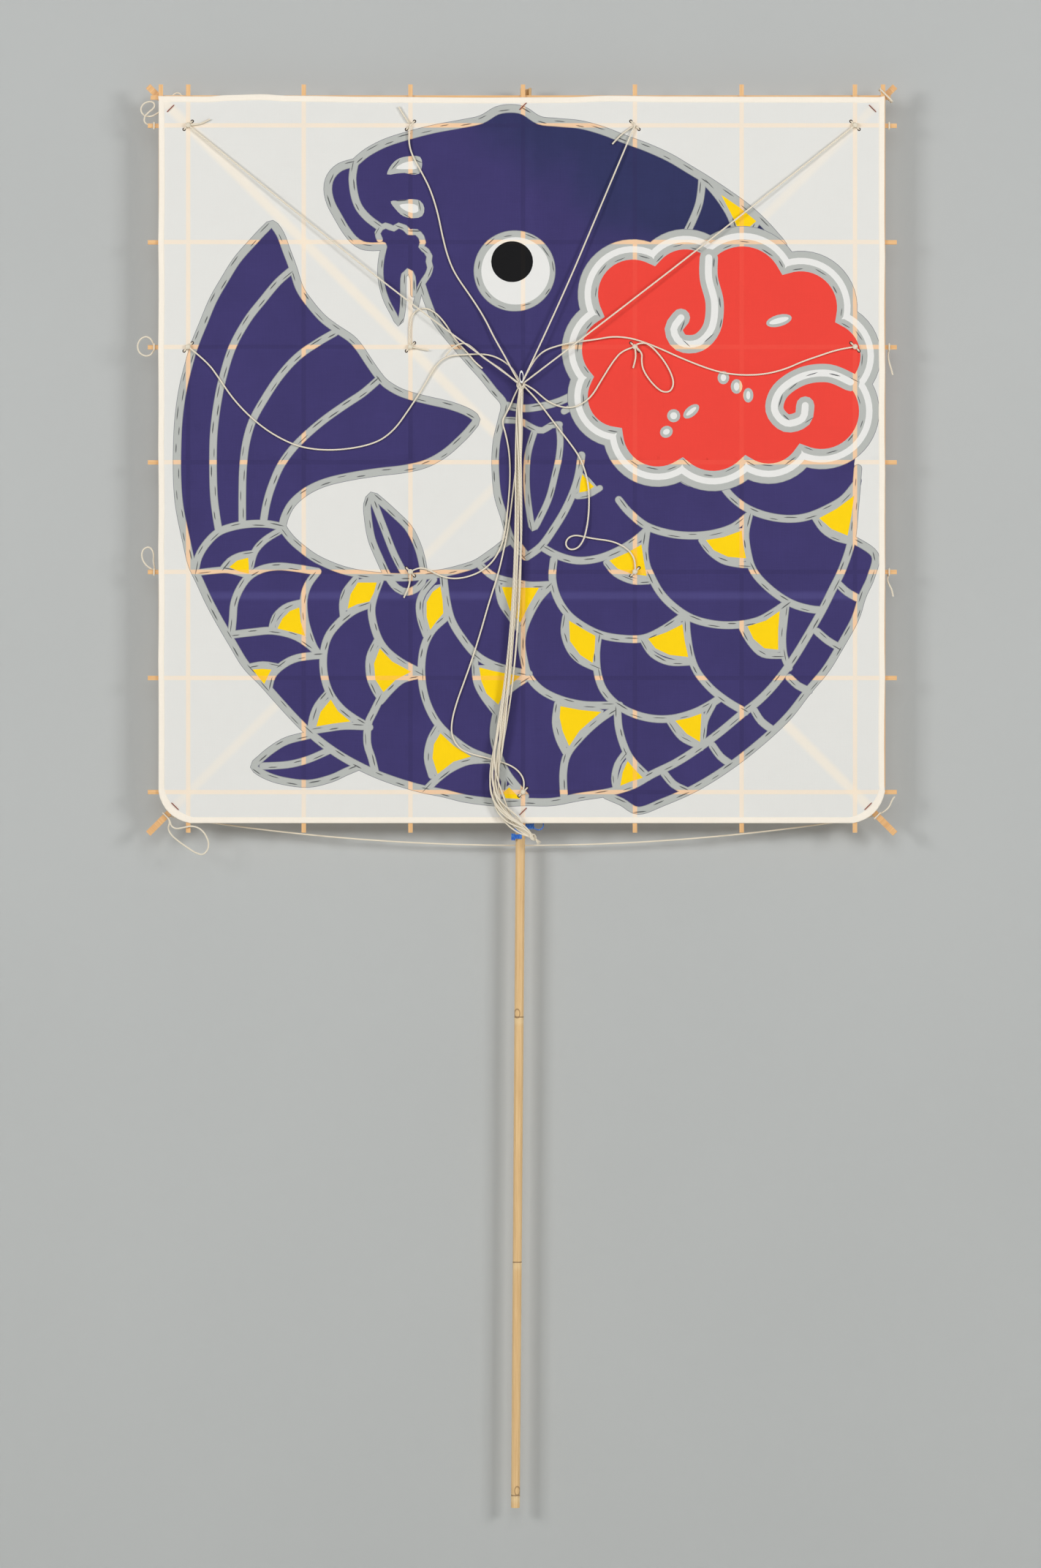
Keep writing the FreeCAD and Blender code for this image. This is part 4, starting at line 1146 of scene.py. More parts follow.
CONTOURS: tuple[Stroke, ...] = (
    # head
    Stroke((
        (-228, 406), (-211, 420), (-186, 433), (-155, 443), (-120, 452), (-82, 459), (-55, 465),
        (-34, 477), (-15, 480), (3, 477), (24, 464), (49, 461), (80, 458), (110, 450), (141, 438),
        (171, 427), (202, 413), (229, 397), (252, 383), (279, 365), (303, 348), (324, 330),
        (344, 309), (359, 288), (347, 272), (334, 297), (318, 309),
    ), 10.5),
    Stroke((
        (-228, 406), (-248, 400), (-261, 387), (-265, 370), (-261, 351), (-251, 332), (-241, 315),
        (-230, 301), (-218, 293), (-203, 291), (-190, 292),
    ), 10.5),
    Stroke((
        (-228, 406), (-231, 390), (-231, 377), (-228, 359), (-222, 344), (-210, 330), (-194, 318),
    )),
    Stroke((
        (-194, 301), (-197, 310), (-193, 317), (-186, 320), (-175, 316), (-168, 320), (-160, 317),
        (-154, 311), (-144, 311), (-137, 304), (-135, 297), (-137, 291), (-130, 285), (-126, 278),
        (-127, 271), (-125, 263), (-128, 253), (-134, 244), (-139, 234), (-142, 222), (-145, 210),
    ), 7.6),
    Stroke((
        (-148, 226), (-149, 249), (-155, 258), (-161, 252), (-162, 235), (-162, 215), (-164, 197),
        (-168, 186), (-175, 199), (-184, 216), (-190, 234), (-193, 253), (-192, 273), (-188, 291),
    ), 7.2),
    Stroke((
        (-136, 238), (-129, 217), (-120, 195), (-108, 177), (-89, 154), (-70, 132), (-53, 113),
        (-38, 94), (-24, 76), (-28, 52), (-34, 26), (-36, -6), (-33, -47), (-24, -78), (-14, -109),
        (5, -133),
    ), 9.0),
    Stroke(((-20, 74), (3, 70), (28, 73), (53, 80), (76, 92), (92, 105))),
    Stroke(((-24, 54), (-3, 53), (7, 48), (18, 42), (29, 40), (41, 47), (52, 48)), 8.0),
    Stroke(((93, 103), (76, 78), (58, 66)), 8.0),
    Stroke((
        (18, 40), (10, 14), (7, -9), (7, -39), (11, -74), (16, -94), (27, -76), (38, -51), (46, -20),
        (51, 3), (53, 26), (51, 45),
    ), 8.0),
    Stroke((
        (82, 6), (78, -20), (72, -41), (60, -68), (45, -93), (27, -118), (7, -133),
    )),
    Stroke(((247, 385), (246, 370), (243, 351), (237, 334), (227, 313), (213, 292))),
    Stroke(((252, 379), (263, 367), (275, 351), (286, 332), (294, 309)), 8.4),
    Stroke(((323, 326), (311, 307)), 8.0),
    # belly and tail
    Stroke((
        (5, -130), (-14, -111), (-38, -126), (-62, -142), (-86, -150), (-107, -155), (-134, -159),
        (-162, -161), (-189, -160), (-217, -157), (-241, -152), (-261, -145), (-282, -135),
        (-299, -123), (-313, -111), (-323, -99), (-327, -92), (-323, -76), (-313, -59),
        (-294, -43), (-268, -31), (-234, -23), (-196, -17), (-162, -13), (-132, -6), (-106, 8),
        (-84, 27), (-69, 43), (-62, 55), (-74, 65), (-98, 74), (-124, 80), (-148, 86), (-168, 93),
        (-186, 104), (-196, 115), (-208, 132), (-222, 153), (-234, 166), (-255, 180), (-273, 194),
        (-291, 215), (-304, 235), (-313, 263), (-322, 287), (-330, 308), (-341, 322), (-351, 315),
        (-368, 297), (-389, 273), (-406, 246), (-422, 218), (-435, 187), (-446, 160), (-453, 138),
        (-463, 98), (-469, 56), (-471, 15), (-471, -26), (-468, -64), (-459, -109), (-451, -143),
        (-440, -167), (-427, -195), (-413, -221), (-396, -250), (-377, -281), (-354, -305),
        (-330, -332), (-306, -358), (-289, -374), (-268, -391), (-244, -407), (-220, -420),
        (-196, -431), (-168, -441), (-137, -450), (-107, -456), (-79, -463), (-51, -467),
        (-24, -469), (4, -468), (41, -468), (80, -461), (118, -455), (152, -445), (179, -430),
        (210, -415), (240, -396), (271, -373), (301, -348), (325, -329), (347, -306), (370, -275),
        (391, -241), (411, -206), (424, -180), (439, -149), (451, -111), (456, -62), (460, -12),
    ), 10.0),
    Stroke((
        (-316, 258), (-334, 242), (-354, 218), (-375, 191), (-395, 155), (-408, 115), (-416, 77),
        (-421, 36), (-422, -6), (-421, -47), (-418, -74), (-414, -98),
    ), 9.4),
    Stroke((
        (-255, 174), (-279, 160), (-306, 141), (-330, 115), (-351, 84), (-368, 53), (-377, 22),
        (-381, -12), (-382, -47), (-382, -86),
    ), 9.4),
    Stroke((
        (-196, 109), (-217, 91), (-241, 75), (-268, 56), (-292, 36), (-313, 15), (-330, -9),
        (-342, -37), (-349, -61), (-353, -84),
    ), 9.4),
    Stroke((
        (-327, -92), (-348, -88), (-372, -88), (-396, -92), (-416, -100), (-432, -116),
        (-442, -133), (-446, -149),
    )),
    Stroke(((-330, -97), (-351, -110), (-365, -126), (-371, -147)), 8.6),
    Stroke(((-367, -128), (-385, -131), (-399, -138), (-408, -148)), 7.6),
    Stroke(((-446, -155), (-423, -152), (-401, -151), (-378, -157)), 8.0),
    Stroke((
        (-397, -239), (-395, -219), (-393, -196), (-385, -176), (-373, -160), (-356, -150),
        (-334, -146), (-310, -148), (-280, -153),
    )),
    Stroke((
        (-279, -153), (-292, -171), (-298, -191), (-297, -215), (-292, -236), (-284, -257),
        (-277, -267),
    )),
    Stroke(((-342, -231), (-337, -215), (-325, -203), (-313, -198), (-299, -195)), 8.0),
    Stroke(((-400, -240), (-368, -236), (-341, -234), (-313, -240), (-292, -252), (-275, -268))),
    Stroke(((-346, -312), (-341, -295), (-327, -281), (-306, -271), (-272, -267))),
    Stroke(((-376, -284), (-354, -280), (-334, -283)), 7.6),
    Stroke((
        (-208, -198), (-230, -207), (-251, -224), (-265, -243), (-271, -267), (-270, -295),
        (-262, -320), (-247, -340), (-229, -354), (-208, -366),
    )),
    Stroke(((-266, -320), (-279, -336), (-286, -353), (-289, -373)), 8.4),
    Stroke(((-290, -371), (-265, -367), (-241, -364), (-209, -365))),
    Stroke(((-193, -326), (-203, -346), (-210, -362), (-211, -388), (-205, -408), (-200, -428))),
    Stroke(((-227, -163), (-241, -181), (-245, -198), (-244, -214)), 8.4),
    Stroke((
        (-193, -163), (-203, -191), (-205, -212), (-198, -240), (-186, -260), (-165, -277),
        (-138, -291),
    )),
    Stroke(((-198, -248), (-208, -270), (-208, -295), (-201, -314), (-192, -328)), 8.4),
    Stroke(((-138, -294), (-162, -300), (-179, -314), (-193, -330))),
    Stroke((
        (-104, -216), (-122, -233), (-133, -255), (-137, -283), (-135, -312), (-127, -339),
        (-113, -363), (-91, -384), (-69, -399), (-40, -410),
    )),
    Stroke(((-120, -164), (-134, -181), (-140, -198), (-138, -219), (-131, -240)), 8.4),
    Stroke((
        (-107, -160), (-103, -191), (-96, -219), (-82, -243), (-62, -267), (-38, -281),
        (-10, -289), (10, -293),
    )),
    Stroke(((-64, -276), (-62, -302), (-53, -322), (-36, -345)), 8.4),
    Stroke((
        (10, -296), (-17, -315), (-31, -336), (-38, -367), (-36, -391), (-24, -422), (-13, -439),
        (5, -460),
    )),
    Stroke(((-115, -365), (-125, -384), (-129, -408), (-123, -432)), 8.4),
    Stroke(((-42, -410), (-72, -412), (-96, -422), (-115, -436), (-129, -450))),
    Stroke(((-42, -412), (-24, -440), (-32, -462)), 7.0),
    # lower body scales
    Stroke(((-57, -144), (-38, -160), (-10, -168), (12, -172), (41, -171))),
    Stroke(((-33, -170), (-28, -195), (-16, -214), (-3, -233)), 8.0),
    Stroke((
        (41, -171), (22, -192), (6, -223), (0, -248), (3, -273), (10, -296), (27, -315), (53, -328),
        (83, -335), (110, -336), (134, -336),
    )),
    Stroke((
        (27, -119), (49, -131), (76, -138), (105, -135), (133, -124), (156, -110), (173, -95),
    )),
    Stroke((
        (133, -55), (147, -72), (171, -91), (202, -101), (233, -104), (263, -101), (290, -92),
        (311, -76),
    )),
    Stroke((
        (259, 5), (267, -20), (282, -45), (304, -64), (332, -76), (363, -81), (391, -78),
        (420, -66), (441, -53), (457, -34),
    )),
    Stroke(((207, -16), (229, -32), (262, -32)), 8.0),
    Stroke(((76, -50), (91, -48), (107, -39)), 7.6),
    Stroke(((116, -141), (129, -156), (152, -166), (174, -166)), 8.0),
    Stroke((
        (171, -97), (168, -122), (170, -141), (175, -155), (189, -181), (208, -201), (233, -217),
        (263, -225), (294, -226), (324, -220), (349, -206), (364, -195),
    )),
    Stroke(((246, -110), (257, -125), (275, -138), (296, -143), (314, -144)), 8.0),
    Stroke((
        (311, -76), (306, -101), (309, -127), (315, -148), (326, -164), (347, -183), (370, -197),
        (393, -204), (411, -206),
    )),
    Stroke(((401, -79), (412, -95), (428, -106), (449, -112)), 8.0),
    Stroke((
        (44, -137), (42, -162), (48, -187), (62, -210), (83, -227), (110, -240), (141, -245),
        (168, -244), (194, -232), (222, -213),
    )),
    Stroke(((60, -215), (58, -237), (66, -260), (80, -275), (101, -285)), 8.0),
    Stroke(((166, -247), (179, -266), (202, -277), (231, -277)), 8.0),
    Stroke(((301, -229), (313, -250), (330, -266), (357, -268)), 8.0),
    Stroke(((362, -197), (359, -222), (357, -245), (359, -268), (366, -285)), 8.6),
    Stroke((
        (225, -215), (226, -237), (231, -267), (240, -290), (259, -313), (282, -331), (306, -345),
    )),
    Stroke((
        (105, -240), (102, -264), (104, -292), (112, -315), (129, -334), (152, -347), (179, -354),
        (206, -354), (233, -347), (254, -337), (273, -325),
    )),
    Stroke(((49, -334), (46, -359), (51, -382), (60, -400)), 8.2),
    Stroke(((131, -339), (106, -356), (83, -377), (63, -402), (57, -428), (58, -461))),
    Stroke(((202, -357), (219, -380), (244, -392)), 8.0),
    Stroke(((262, -334), (251, -356), (248, -375), (245, -394)), 8.6),
    Stroke(((131, -340), (133, -367), (141, -394), (152, -413), (173, -434))),
    Stroke(((141, -402), (131, -417), (127, -436), (130, -452)), 8.0),
    # back fin band
    Stroke((
        (453, -109), (483, -130), (478, -160), (466, -187), (456, -218), (435, -256), (416, -287),
        (391, -317), (367, -348), (342, -373), (309, -401), (282, -421), (256, -438), (229, -453),
        (194, -468), (160, -480), (137, -468), (116, -459),
    )),
    Stroke(((433, -170), (445, -181), (459, -189))),
    Stroke(((404, -235), (418, -247), (433, -256))),
    Stroke(((366, -298), (378, -309), (393, -316))),
    Stroke(((318, -343), (328, -358), (344, -370))),
    Stroke(((261, -391), (272, -406), (287, -417))),
    Stroke(((195, -429), (208, -444), (226, -453))),
    # small fins
    Stroke((
        (-288, -376), (-320, -384), (-341, -396), (-358, -410), (-366, -420), (-351, -431),
        (-327, -439), (-292, -443), (-261, -436), (-241, -427), (-222, -419),
    )),
    Stroke(((-354, -419), (-320, -417), (-292, -410), (-262, -397)), 9.0),
    Stroke((
        (-205, -49), (-194, -56), (-175, -73), (-155, -93), (-143, -116), (-136, -140),
        (-134, -161), (-141, -174), (-156, -181), (-170, -176), (-182, -161), (-194, -136),
        (-205, -109), (-210, -81), (-211, -61),
    ), 9.4, True),
    Stroke(((-202, -58), (-189, -92), (-174, -130), (-158, -160)), 8.6),
)

SCALE_TIPS: tuple[tuple[Point2, ...], ...] = (
    ((273, 362), (298, 345), (321, 326), (300, 308), (287, 335)),
    ((252, 4), (257, -10), (259, -24), (236, -24), (224, -21), (213, -14), (232, -6)),
    ((83, -20), (90, -28), (99, -37), (90, -43), (79, -45), (80, -33)),
    ((164, -116), (167, -137), (171, -159), (150, -156), (131, -149), (120, -138), (145, -127)),
    ((301, -97), (303, -116), (307, -135), (282, -133), (263, -124), (252, -110), (276, -106)),
    ((455, -49), (451, -77), (446, -104), (424, -95), (407, -80), (431, -67)),
    ((65, -220), (83, -231), (101, -241), (100, -260), (97, -278), (80, -267), (66, -248)),
    ((220, -225), (223, -247), (228, -270), (202, -267), (183, -258), (173, -245), (198, -236)),
    ((353, -207), (351, -233), (351, -260), (332, -258), (317, -245), (309, -228), (334, -220)),
    ((53, -337), (79, -342), (109, -345), (96, -356), (79, -371), (65, -392), (56, -371), (52, -353)),
    ((246, -347), (245, -366), (244, -386), (226, -375), (210, -357), (229, -353)),
    ((145, -412), (155, -424), (166, -435), (150, -440), (135, -446), (138, -428)),
    ((-27, -174), (0, -175), (24, -175), (10, -199), (-2, -223), (-16, -206)),
    ((-374, -134), (-373, -145), (-373, -156), (-386, -153), (-400, -147), (-389, -138)),
    ((-304, -202), (-302, -222), (-296, -241), (-313, -236), (-334, -231), (-327, -217), (-317, -207)),
    ((-368, -287), (-355, -286), (-342, -287), (-347, -296), (-352, -307), (-360, -297)),
    ((-261, -328), (-251, -344), (-234, -358), (-258, -361), (-281, -365), (-275, -345)),
    ((-224, -168), (-198, -168), (-202, -182), (-208, -194), (-225, -198), (-238, -204), (-234, -184)),
    ((-194, -258), (-177, -276), (-151, -290), (-172, -301), (-189, -318), (-200, -301), (-202, -279)),
    ((-111, -173), (-108, -192), (-107, -210), (-117, -222), (-125, -233), (-130, -215), (-130, -195),
     (-122, -181)),
    ((-58, -284), (-38, -289), (-2, -296), (-20, -312), (-32, -335), (-48, -320), (-55, -303)),
    ((-111, -374), (-93, -391), (-69, -406), (-93, -413), (-115, -430), (-122, -408), (-120, -389)),
    ((-17, -448), (-8, -457), (-2, -464), (-22, -463), (-25, -455)),
)


def ring(x: float, z: float, wide: float, tall: float) -> tuple[Point2, ...]:
    """Points of an oval about a centre."""
    return tuple(
        (x + wide * math.cos(k * math.tau / 14), z + tall * math.sin(k * math.tau / 14)) for k in range(14)
    )


DETAIL_PATCHES: tuple[Patch, ...] = (
    Patch(Paint.EDGE, ring(-9.6, 258.0, 56.2, 55.6)),
    Patch(Paint.CONTOUR, ring(-9.6, 258.0, 55.4, 54.8)),
    Patch(Paint.WHITE, ring(-8.2, 258.0, 46.9, 46.1)),
    Patch(Paint.BLACK, ring(-13.0, 270.6, 28.7, 28.0)),
    Patch(Paint.CONTOUR, (
        (-184, 390), (-178, 403), (-167, 412), (-151, 415), (-139, 414), (-136, 404), (-140, 391),
        (-151, 390), (-160, 392), (-172, 391),
    )),
    Patch(Paint.WHITE, (
        (-172, 398), (-163, 405), (-151, 408), (-143, 407), (-143, 398), (-154, 397),
    )),
    Patch(Paint.CONTOUR, (
        (-179, 353), (-165, 354), (-153, 356), (-139, 354), (-133, 344), (-136, 333), (-148, 330),
        (-162, 333), (-172, 342),
    )),
    Patch(Paint.WHITE, (
        (-167, 348), (-153, 350), (-142, 347), (-141, 340), (-148, 337), (-160, 341),
    )),
)
DETAIL_RINGS: tuple[tuple[Point2, ...], ...] = (
    ring(-9.2, 258.0, 51.2, 50.4),
    ((-176, 394), (-165, 408), (-151, 411), (-140, 409), (-140, 395), (-158, 393)),
    ((-172, 350), (-153, 353), (-138, 350), (-139, 337), (-155, 334)),
)

# A plain scalloped cloud with its outline, its curls and its drops.
# Each lobe is X, Z and radius, clockwise from the left.
CLOUD_LOBES: tuple[Point3, ...] = (
    (128, 150, 50), (152, 226, 52), (224, 242, 50), (302, 236, 60), (382, 208, 54), (418, 142, 50),
    (410, 66, 56), (338, 38, 48), (262, 36, 56), (186, 38, 52), (132, 86, 46),
)
CURLS: tuple[tuple[Point2, ...], ...] = (
    ((256, 276), (256, 248), (264, 214), (260, 180), (242, 160), (218, 160), (208, 178), (218, 194)),
    ((450, 106), (420, 118), (384, 114), (354, 94), (346, 68), (362, 50), (384, 56), (388, 74)),
)
DROPS: tuple[tuple[float, float, float, float, float], ...] = (
    (352, 190, 18, 8, 15), (208, 60, 9, 9, 20), (232, 66, 13, 7, 40), (198, 38, 9, 8, 30),
    (276, 112, 8, 9, 0), (294, 100, 8, 10, 0), (310, 88, 7, 10, 0),
)
# Anchor crossings with a pair of punched holes: X, Z and the slope of the pair.
EYELETS: tuple[tuple[float, float, int], ...] = (
    (-456, 457, 1), (-152, 457, 1), (155, 457, -1), (456, 457, -1), (-456, 154, 1), (-152, 154, 1),
    (155, 154, -1), (456, 154, -1), (-152, -153.5, -1), (155, -153.5, 1), (2, -454.5, 1),
)


class Unpainted(Enum):
    """What changes the cloth without being a colour."""

    RIB = 1
    HOLE = 2


Layer = Paint | Unpainted


def scalloped(lobes: tuple[Point3, ...]) -> list[Vector]:
    """Outline of overlapping round lobes.

    Args:
        lobes: X, Z and radius of each lobe, clockwise.

    Returns:
        Points along the outline.
    """
    spots = [Vector(lobe[:2]) for lobe in lobes]
    middle = sum(spots, Vector((0.0, 0.0))) / len(spots)
    joints = []
    for k, (spot, lobe) in enumerate(zip(spots, lobes)):
        after = (k + 1) % len(lobes)
        gap = spots[after] - spot
        along = (lobe[2] ** 2 - lobes[after][2] ** 2 + gap.length_squared) / (2.0 * gap.length)
        aside = math.sqrt(lobe[2] ** 2 - along**2)
        across = Vector((-gap.y, gap.x)).normalized() * aside
        root = spot + gap.normalized() * along
        joints.append(max((root + across, root - across), key=lambda point: (point - middle).length))
    outline = []
    for k, (spot, lobe) in enumerate(zip(spots, lobes)):
        first = math.atan2(*reversed(joints[k - 1] - spot))
        last = math.atan2(*reversed(joints[k] - spot))
        sweep = (first - last) % math.tau
        steps = max(4, round(sweep * lobe[2] / 7.0))
        for step in range(steps):
            turn = first - sweep * step / steps
            outline.append(spot + lobe[2] * Vector((math.cos(turn), math.sin(turn))))
    return outline


def clip_line(
    line: tuple[float, float, float, float], low: Point2, high: Point2
) -> tuple[float, float, float, float] | None:
    """Keep the part of a line that falls inside a rectangle.

    Args:
        line: X and Z of both ends.
        low: Lowest corner of the rectangle.
        high: Highest corner.

    Returns:
        X and Z of the kept part's ends, or None.
    """
    ax, az, bx, bz = line
    first, last = 0.0, 1.0
    for start, run, bottom, top in ((ax, bx - ax, low[0], high[0]), (az, bz - az, low[1], high[1])):
        if abs(run) < 1e-9:
            if start < bottom or start > top:
                return None
            continue
        enter, leave = sorted(((bottom - start) / run, (top - start) / run))
        first, last = max(first, enter), min(last, leave)
    if last - first < 1e-9:
        return None
    return ax + (bx - ax) * first, az + (bz - az) * first, ax + (bx - ax) * last, az + (bz - az) * last


class Sail:
    """The painted cloth as one sheet, each colour in its own faces, and its folded hem."""

    GRID = 24.0
    DASH_PITCH = 30.0
    TILES = 14

    def __init__(self) -> None:
        """Start with no painted shapes."""
        self.shapes: list[tuple[Layer, np.ndarray]] = []
        self.lines: list[tuple[float, float, float, float]] = []

    def draw(self, line: list[Vector], closed: bool) -> None:
        """Mark a line along which the faces are divided.

        Args:
            line: Its points.
            closed: True where it returns to its start.
        """
        ends = line[1:] + line[:1] if closed else line[1:]
        self.lines += [(a[0], a[1], b[0], b[1]) for a, b in zip(line, ends)]

    def lay(self, layer: Layer, outline: list[Vector]) -> None:
        """Lay one shape over what is already painted.

        Args:
            layer: Its colour, a rib that shows through, or a hole.
            outline: Its corners.
        """
        self.draw(outline, True)
        self.shapes.append((layer, np.array([(point[0], point[1]) for point in outline])))

    def lay_band(self, layer: Layer, line: list[Vector], width: float, closed: bool) -> None:
        """Lay a band of one width along a line.

        Args:
            layer: Its colour.
            line: Points along its middle.
            width: Its width.
            closed: True where it returns to its start.
        """
        count = len(line)
        left, right = [], []
        for i, point in enumerate(line):
            before = line[i - 1] if closed or i else point
            after = line[(i + 1) % count] if closed or i < count - 1 else point
            along = (after - before).normalized()
            across = Vector((-along.y, along.x)) * width / 2.0
            left.append(point + across)
            right.append(point - across)
        self.draw(left, closed)
        self.draw(right, closed)
        if not closed:
            turns = [k * math.tau / 12 for k in range(12)]
            for end in (line[0], line[-1]):
                self.lay(layer, [end + width / 2.0 * Vector((math.cos(t), math.sin(t))) for t in turns])
        for i in range(count if closed else count - 1):
            j = (i + 1) % count
            quad = np.array([tuple(corner) for corner in (left[i], left[j], right[j], right[i])])
            self.shapes.append((layer, quad))

    def lay_dashes(self, line: list[Vector], width: float, chance: random.Random) -> None:
        """Lay short tapered brush dashes along a contour, to either side of its middle.

        Args:
            line: Points along the contour.
            width: Width of the contour.
            chance: Source of the small differences.
        """
        run = 0.0
        goal = chance.uniform(4.0, 14.0)
        side = chance.choice((-1, 1))
        for a, b in zip(line, line[1:]):
            step = (b - a).length
            if run + step >= goal and step > 0.0:
                along = (b - a) / step
                across = Vector((-along.y, along.x))
                middle = a + along * (goal - run) + across * side * width * chance.uniform(0.14, 0.24)
                half = chance.uniform(6.0, 10.5)
                thick = chance.uniform(0.55, 0.95)
                self.lay(Paint.DASH, [
                    middle - along * half, middle - along * half * 0.4 + across * thick,
                    middle + along * half * 0.5 + across * thick * 0.8, middle + along * half,
                    middle + along * half * 0.4 - across * thick,
                    middle - along * half * 0.5 - across * thick * 0.8,
                ])
                goal += chance.uniform(0.75, 1.2) * self.DASH_PITCH
                side = -side
            run += step

    def paint_all(self) -> None:
        """Lay the whole picture in the order that a dyer would."""
        chance = random.Random(7)
        self.lay(Paint.GROUND, [Vector(point) for point in cloth_edge(0.0)])
        for patch in BODY_PATCHES:
            self.lay(patch.paint, smooth_path(list(patch.outline), 8.0, True))
        lines = [(smooth_path(list(stroke.line), 6.0, stroke.closed), stroke) for stroke in CONTOURS]
        for line, stroke in lines:
            self.lay_band(Paint.EDGE, line, stroke.width + 1.5, stroke.closed)
        for line, stroke in lines:
            self.lay_band(Paint.CONTOUR, line, stroke.width, stroke.closed)
        tips = [[Vector(point) for point in tip] for tip in SCALE_TIPS]
        for tip in tips:
            rim = smooth_path([tuple(point) for point in tip], 9.0, True)
            self.lay_band(Paint.CONTOUR, rim, 8.0, True)
        for line, stroke in lines:
            self.lay_dashes(line, stroke.width, chance)
        for tip in tips:
            self.lay(Paint.YELLOW, tip)
        for patch in DETAIL_PATCHES:
            self.lay(patch.paint, smooth_path(list(patch.outline), 5.0, True))
        for line in DETAIL_RINGS:
            self.lay_dashes(smooth_path(list(line), 6.0, True), 9.0, chance)
        self.paint_emblem(chance)
        # Round each punched hole, a dark ring of painted shade, then the opening cut through it.
        for x, z, slope in EYELETS:
            for side in (-1, 1):
                centre = Vector((x + side * 5.6, z + side * slope * 5.6))
                for layer, radius in ((Paint.EYELET, 2.4), (Unpainted.HOLE, 1.15)):
                    turns = [k * math.tau / 10 for k in range(10)]
                    rim = [centre + radius * Vector((math.cos(turn), math.sin(turn))) for turn in turns]
                    self.lay(layer, rim)
        for x in COLUMNS:
            rib = ((x - 3, -498), (x + 3, -498), (x + 3, 500), (x - 3, 500))
            self.lay(Unpainted.RIB, [Vector(corner) for corner in rib])
        for z in ROWS:
            rib = ((-498, z - 3), (498, z - 3), (498, z + 3), (-498, z + 3))
            self.lay(Unpainted.RIB, [Vector(corner) for corner in rib])

    def paint_emblem(self, chance: random.Random) -> None:
        """Lay the red cloud: its white halo, grey contours, curls and drops.

        Args:
            chance: Source of the small differences.
        """
        cloud = scalloped(CLOUD_LOBES)
        self.lay_band(Paint.EDGE, cloud, 47.0, True)
        self.lay_band(Paint.CONTOUR, cloud, 45.5, True)
        self.lay_band(Paint.WHITE, cloud, 28.0, True)
        self.lay_band(Paint.CONTOUR, cloud, 10.5, True)
        self.lay(Paint.RED, cloud)
        self.lay_band(Paint.CONTOUR, cloud, 9.0, True)
        self.lay_dashes(cloud, 9.0, chance)
        for curl in CURLS:
            line = smooth_path(list(curl), 6.0, False)
            self.lay_band(Paint.CONTOUR, line, 25.0, False)
            self.lay_band(Paint.WHITE, line, 9.5, False)
            self.lay_dashes([point + Vector((8.6, 0.0)) for point in line], 9.0, chance)
        for x, z, wide, tall, lean in DROPS:
            for paint, grow in ((Paint.CONTOUR, 0.0), (Paint.WHITE, -4.2)):
                ring = []
                for k in range(16):
                    turn = k * math.tau / 16
                    spot = Vector(((wide + grow) * math.cos(turn), (tall + grow) * math.sin(turn)))
                    spot.rotate(_turn(lean))
                    ring.append(spot + Vector((x, z)))
                self.lay(paint, ring)

    def divide(self) -> tuple[list[Vector], list[tuple[int, ...]]]:
        """Cut the cloth's plane into triangles along every drawn line, tile by tile.

        Returns:
            Corners and triangles.
        """
        reach = SAIL_HALF + 4.0
        side = 2.0 * reach / self.TILES
        inside: dict[tuple[int, int], list[tuple[float, float, float, float]]] = {}
        for line in self.lines:
            spans = []
            for a, b in ((line[0], line[2]), (line[1], line[3])):
                low, high = min(a, b) + reach, max(a, b) + reach
                spans.append(range(max(int(low // side), 0), min(int(high // side), self.TILES - 1) + 1))
            for i in spans[0]:
                for j in spans[1]:
                    inside.setdefault((i, j), []).append(line)
        corners: list[Vector] = []
        triangles: list[tuple[int, ...]] = []
        step = side / round(side / self.GRID)
        for i in range(self.TILES):
            for j in range(self.TILES):
                low = (-reach + i * side, -reach + j * side)
                high = (-reach + (i + 1) * side, -reach + (j + 1) * side)
                points = [Vector(p) for p in (low, (high[0], low[1]), high, (low[0], high[1]))]
                edges = [(0, 1), (1, 2), (2, 3), (3, 0)]
                for line in inside.get((i, j), []):
                    part = clip_line(line, low, high)
                    if part:
                        edges.append((len(points), len(points) + 1))
                        points += [Vector(part[:2]), Vector(part[2:])]
                for a in range(round(side / step)):
                    for b in range(round(side / step)):
                        points.append(Vector((low[0] + (a + 0.5) * step, low[1] + (b + 0.5) * step)))
                cut = delaunay_2d_cdt(points, edges, [], 0, 1e-4, False)
                first = len(corners)
                corners += cut[0]
                triangles += [tuple(first + k for k in face) for face in cut[2]]
        return corners, triangles

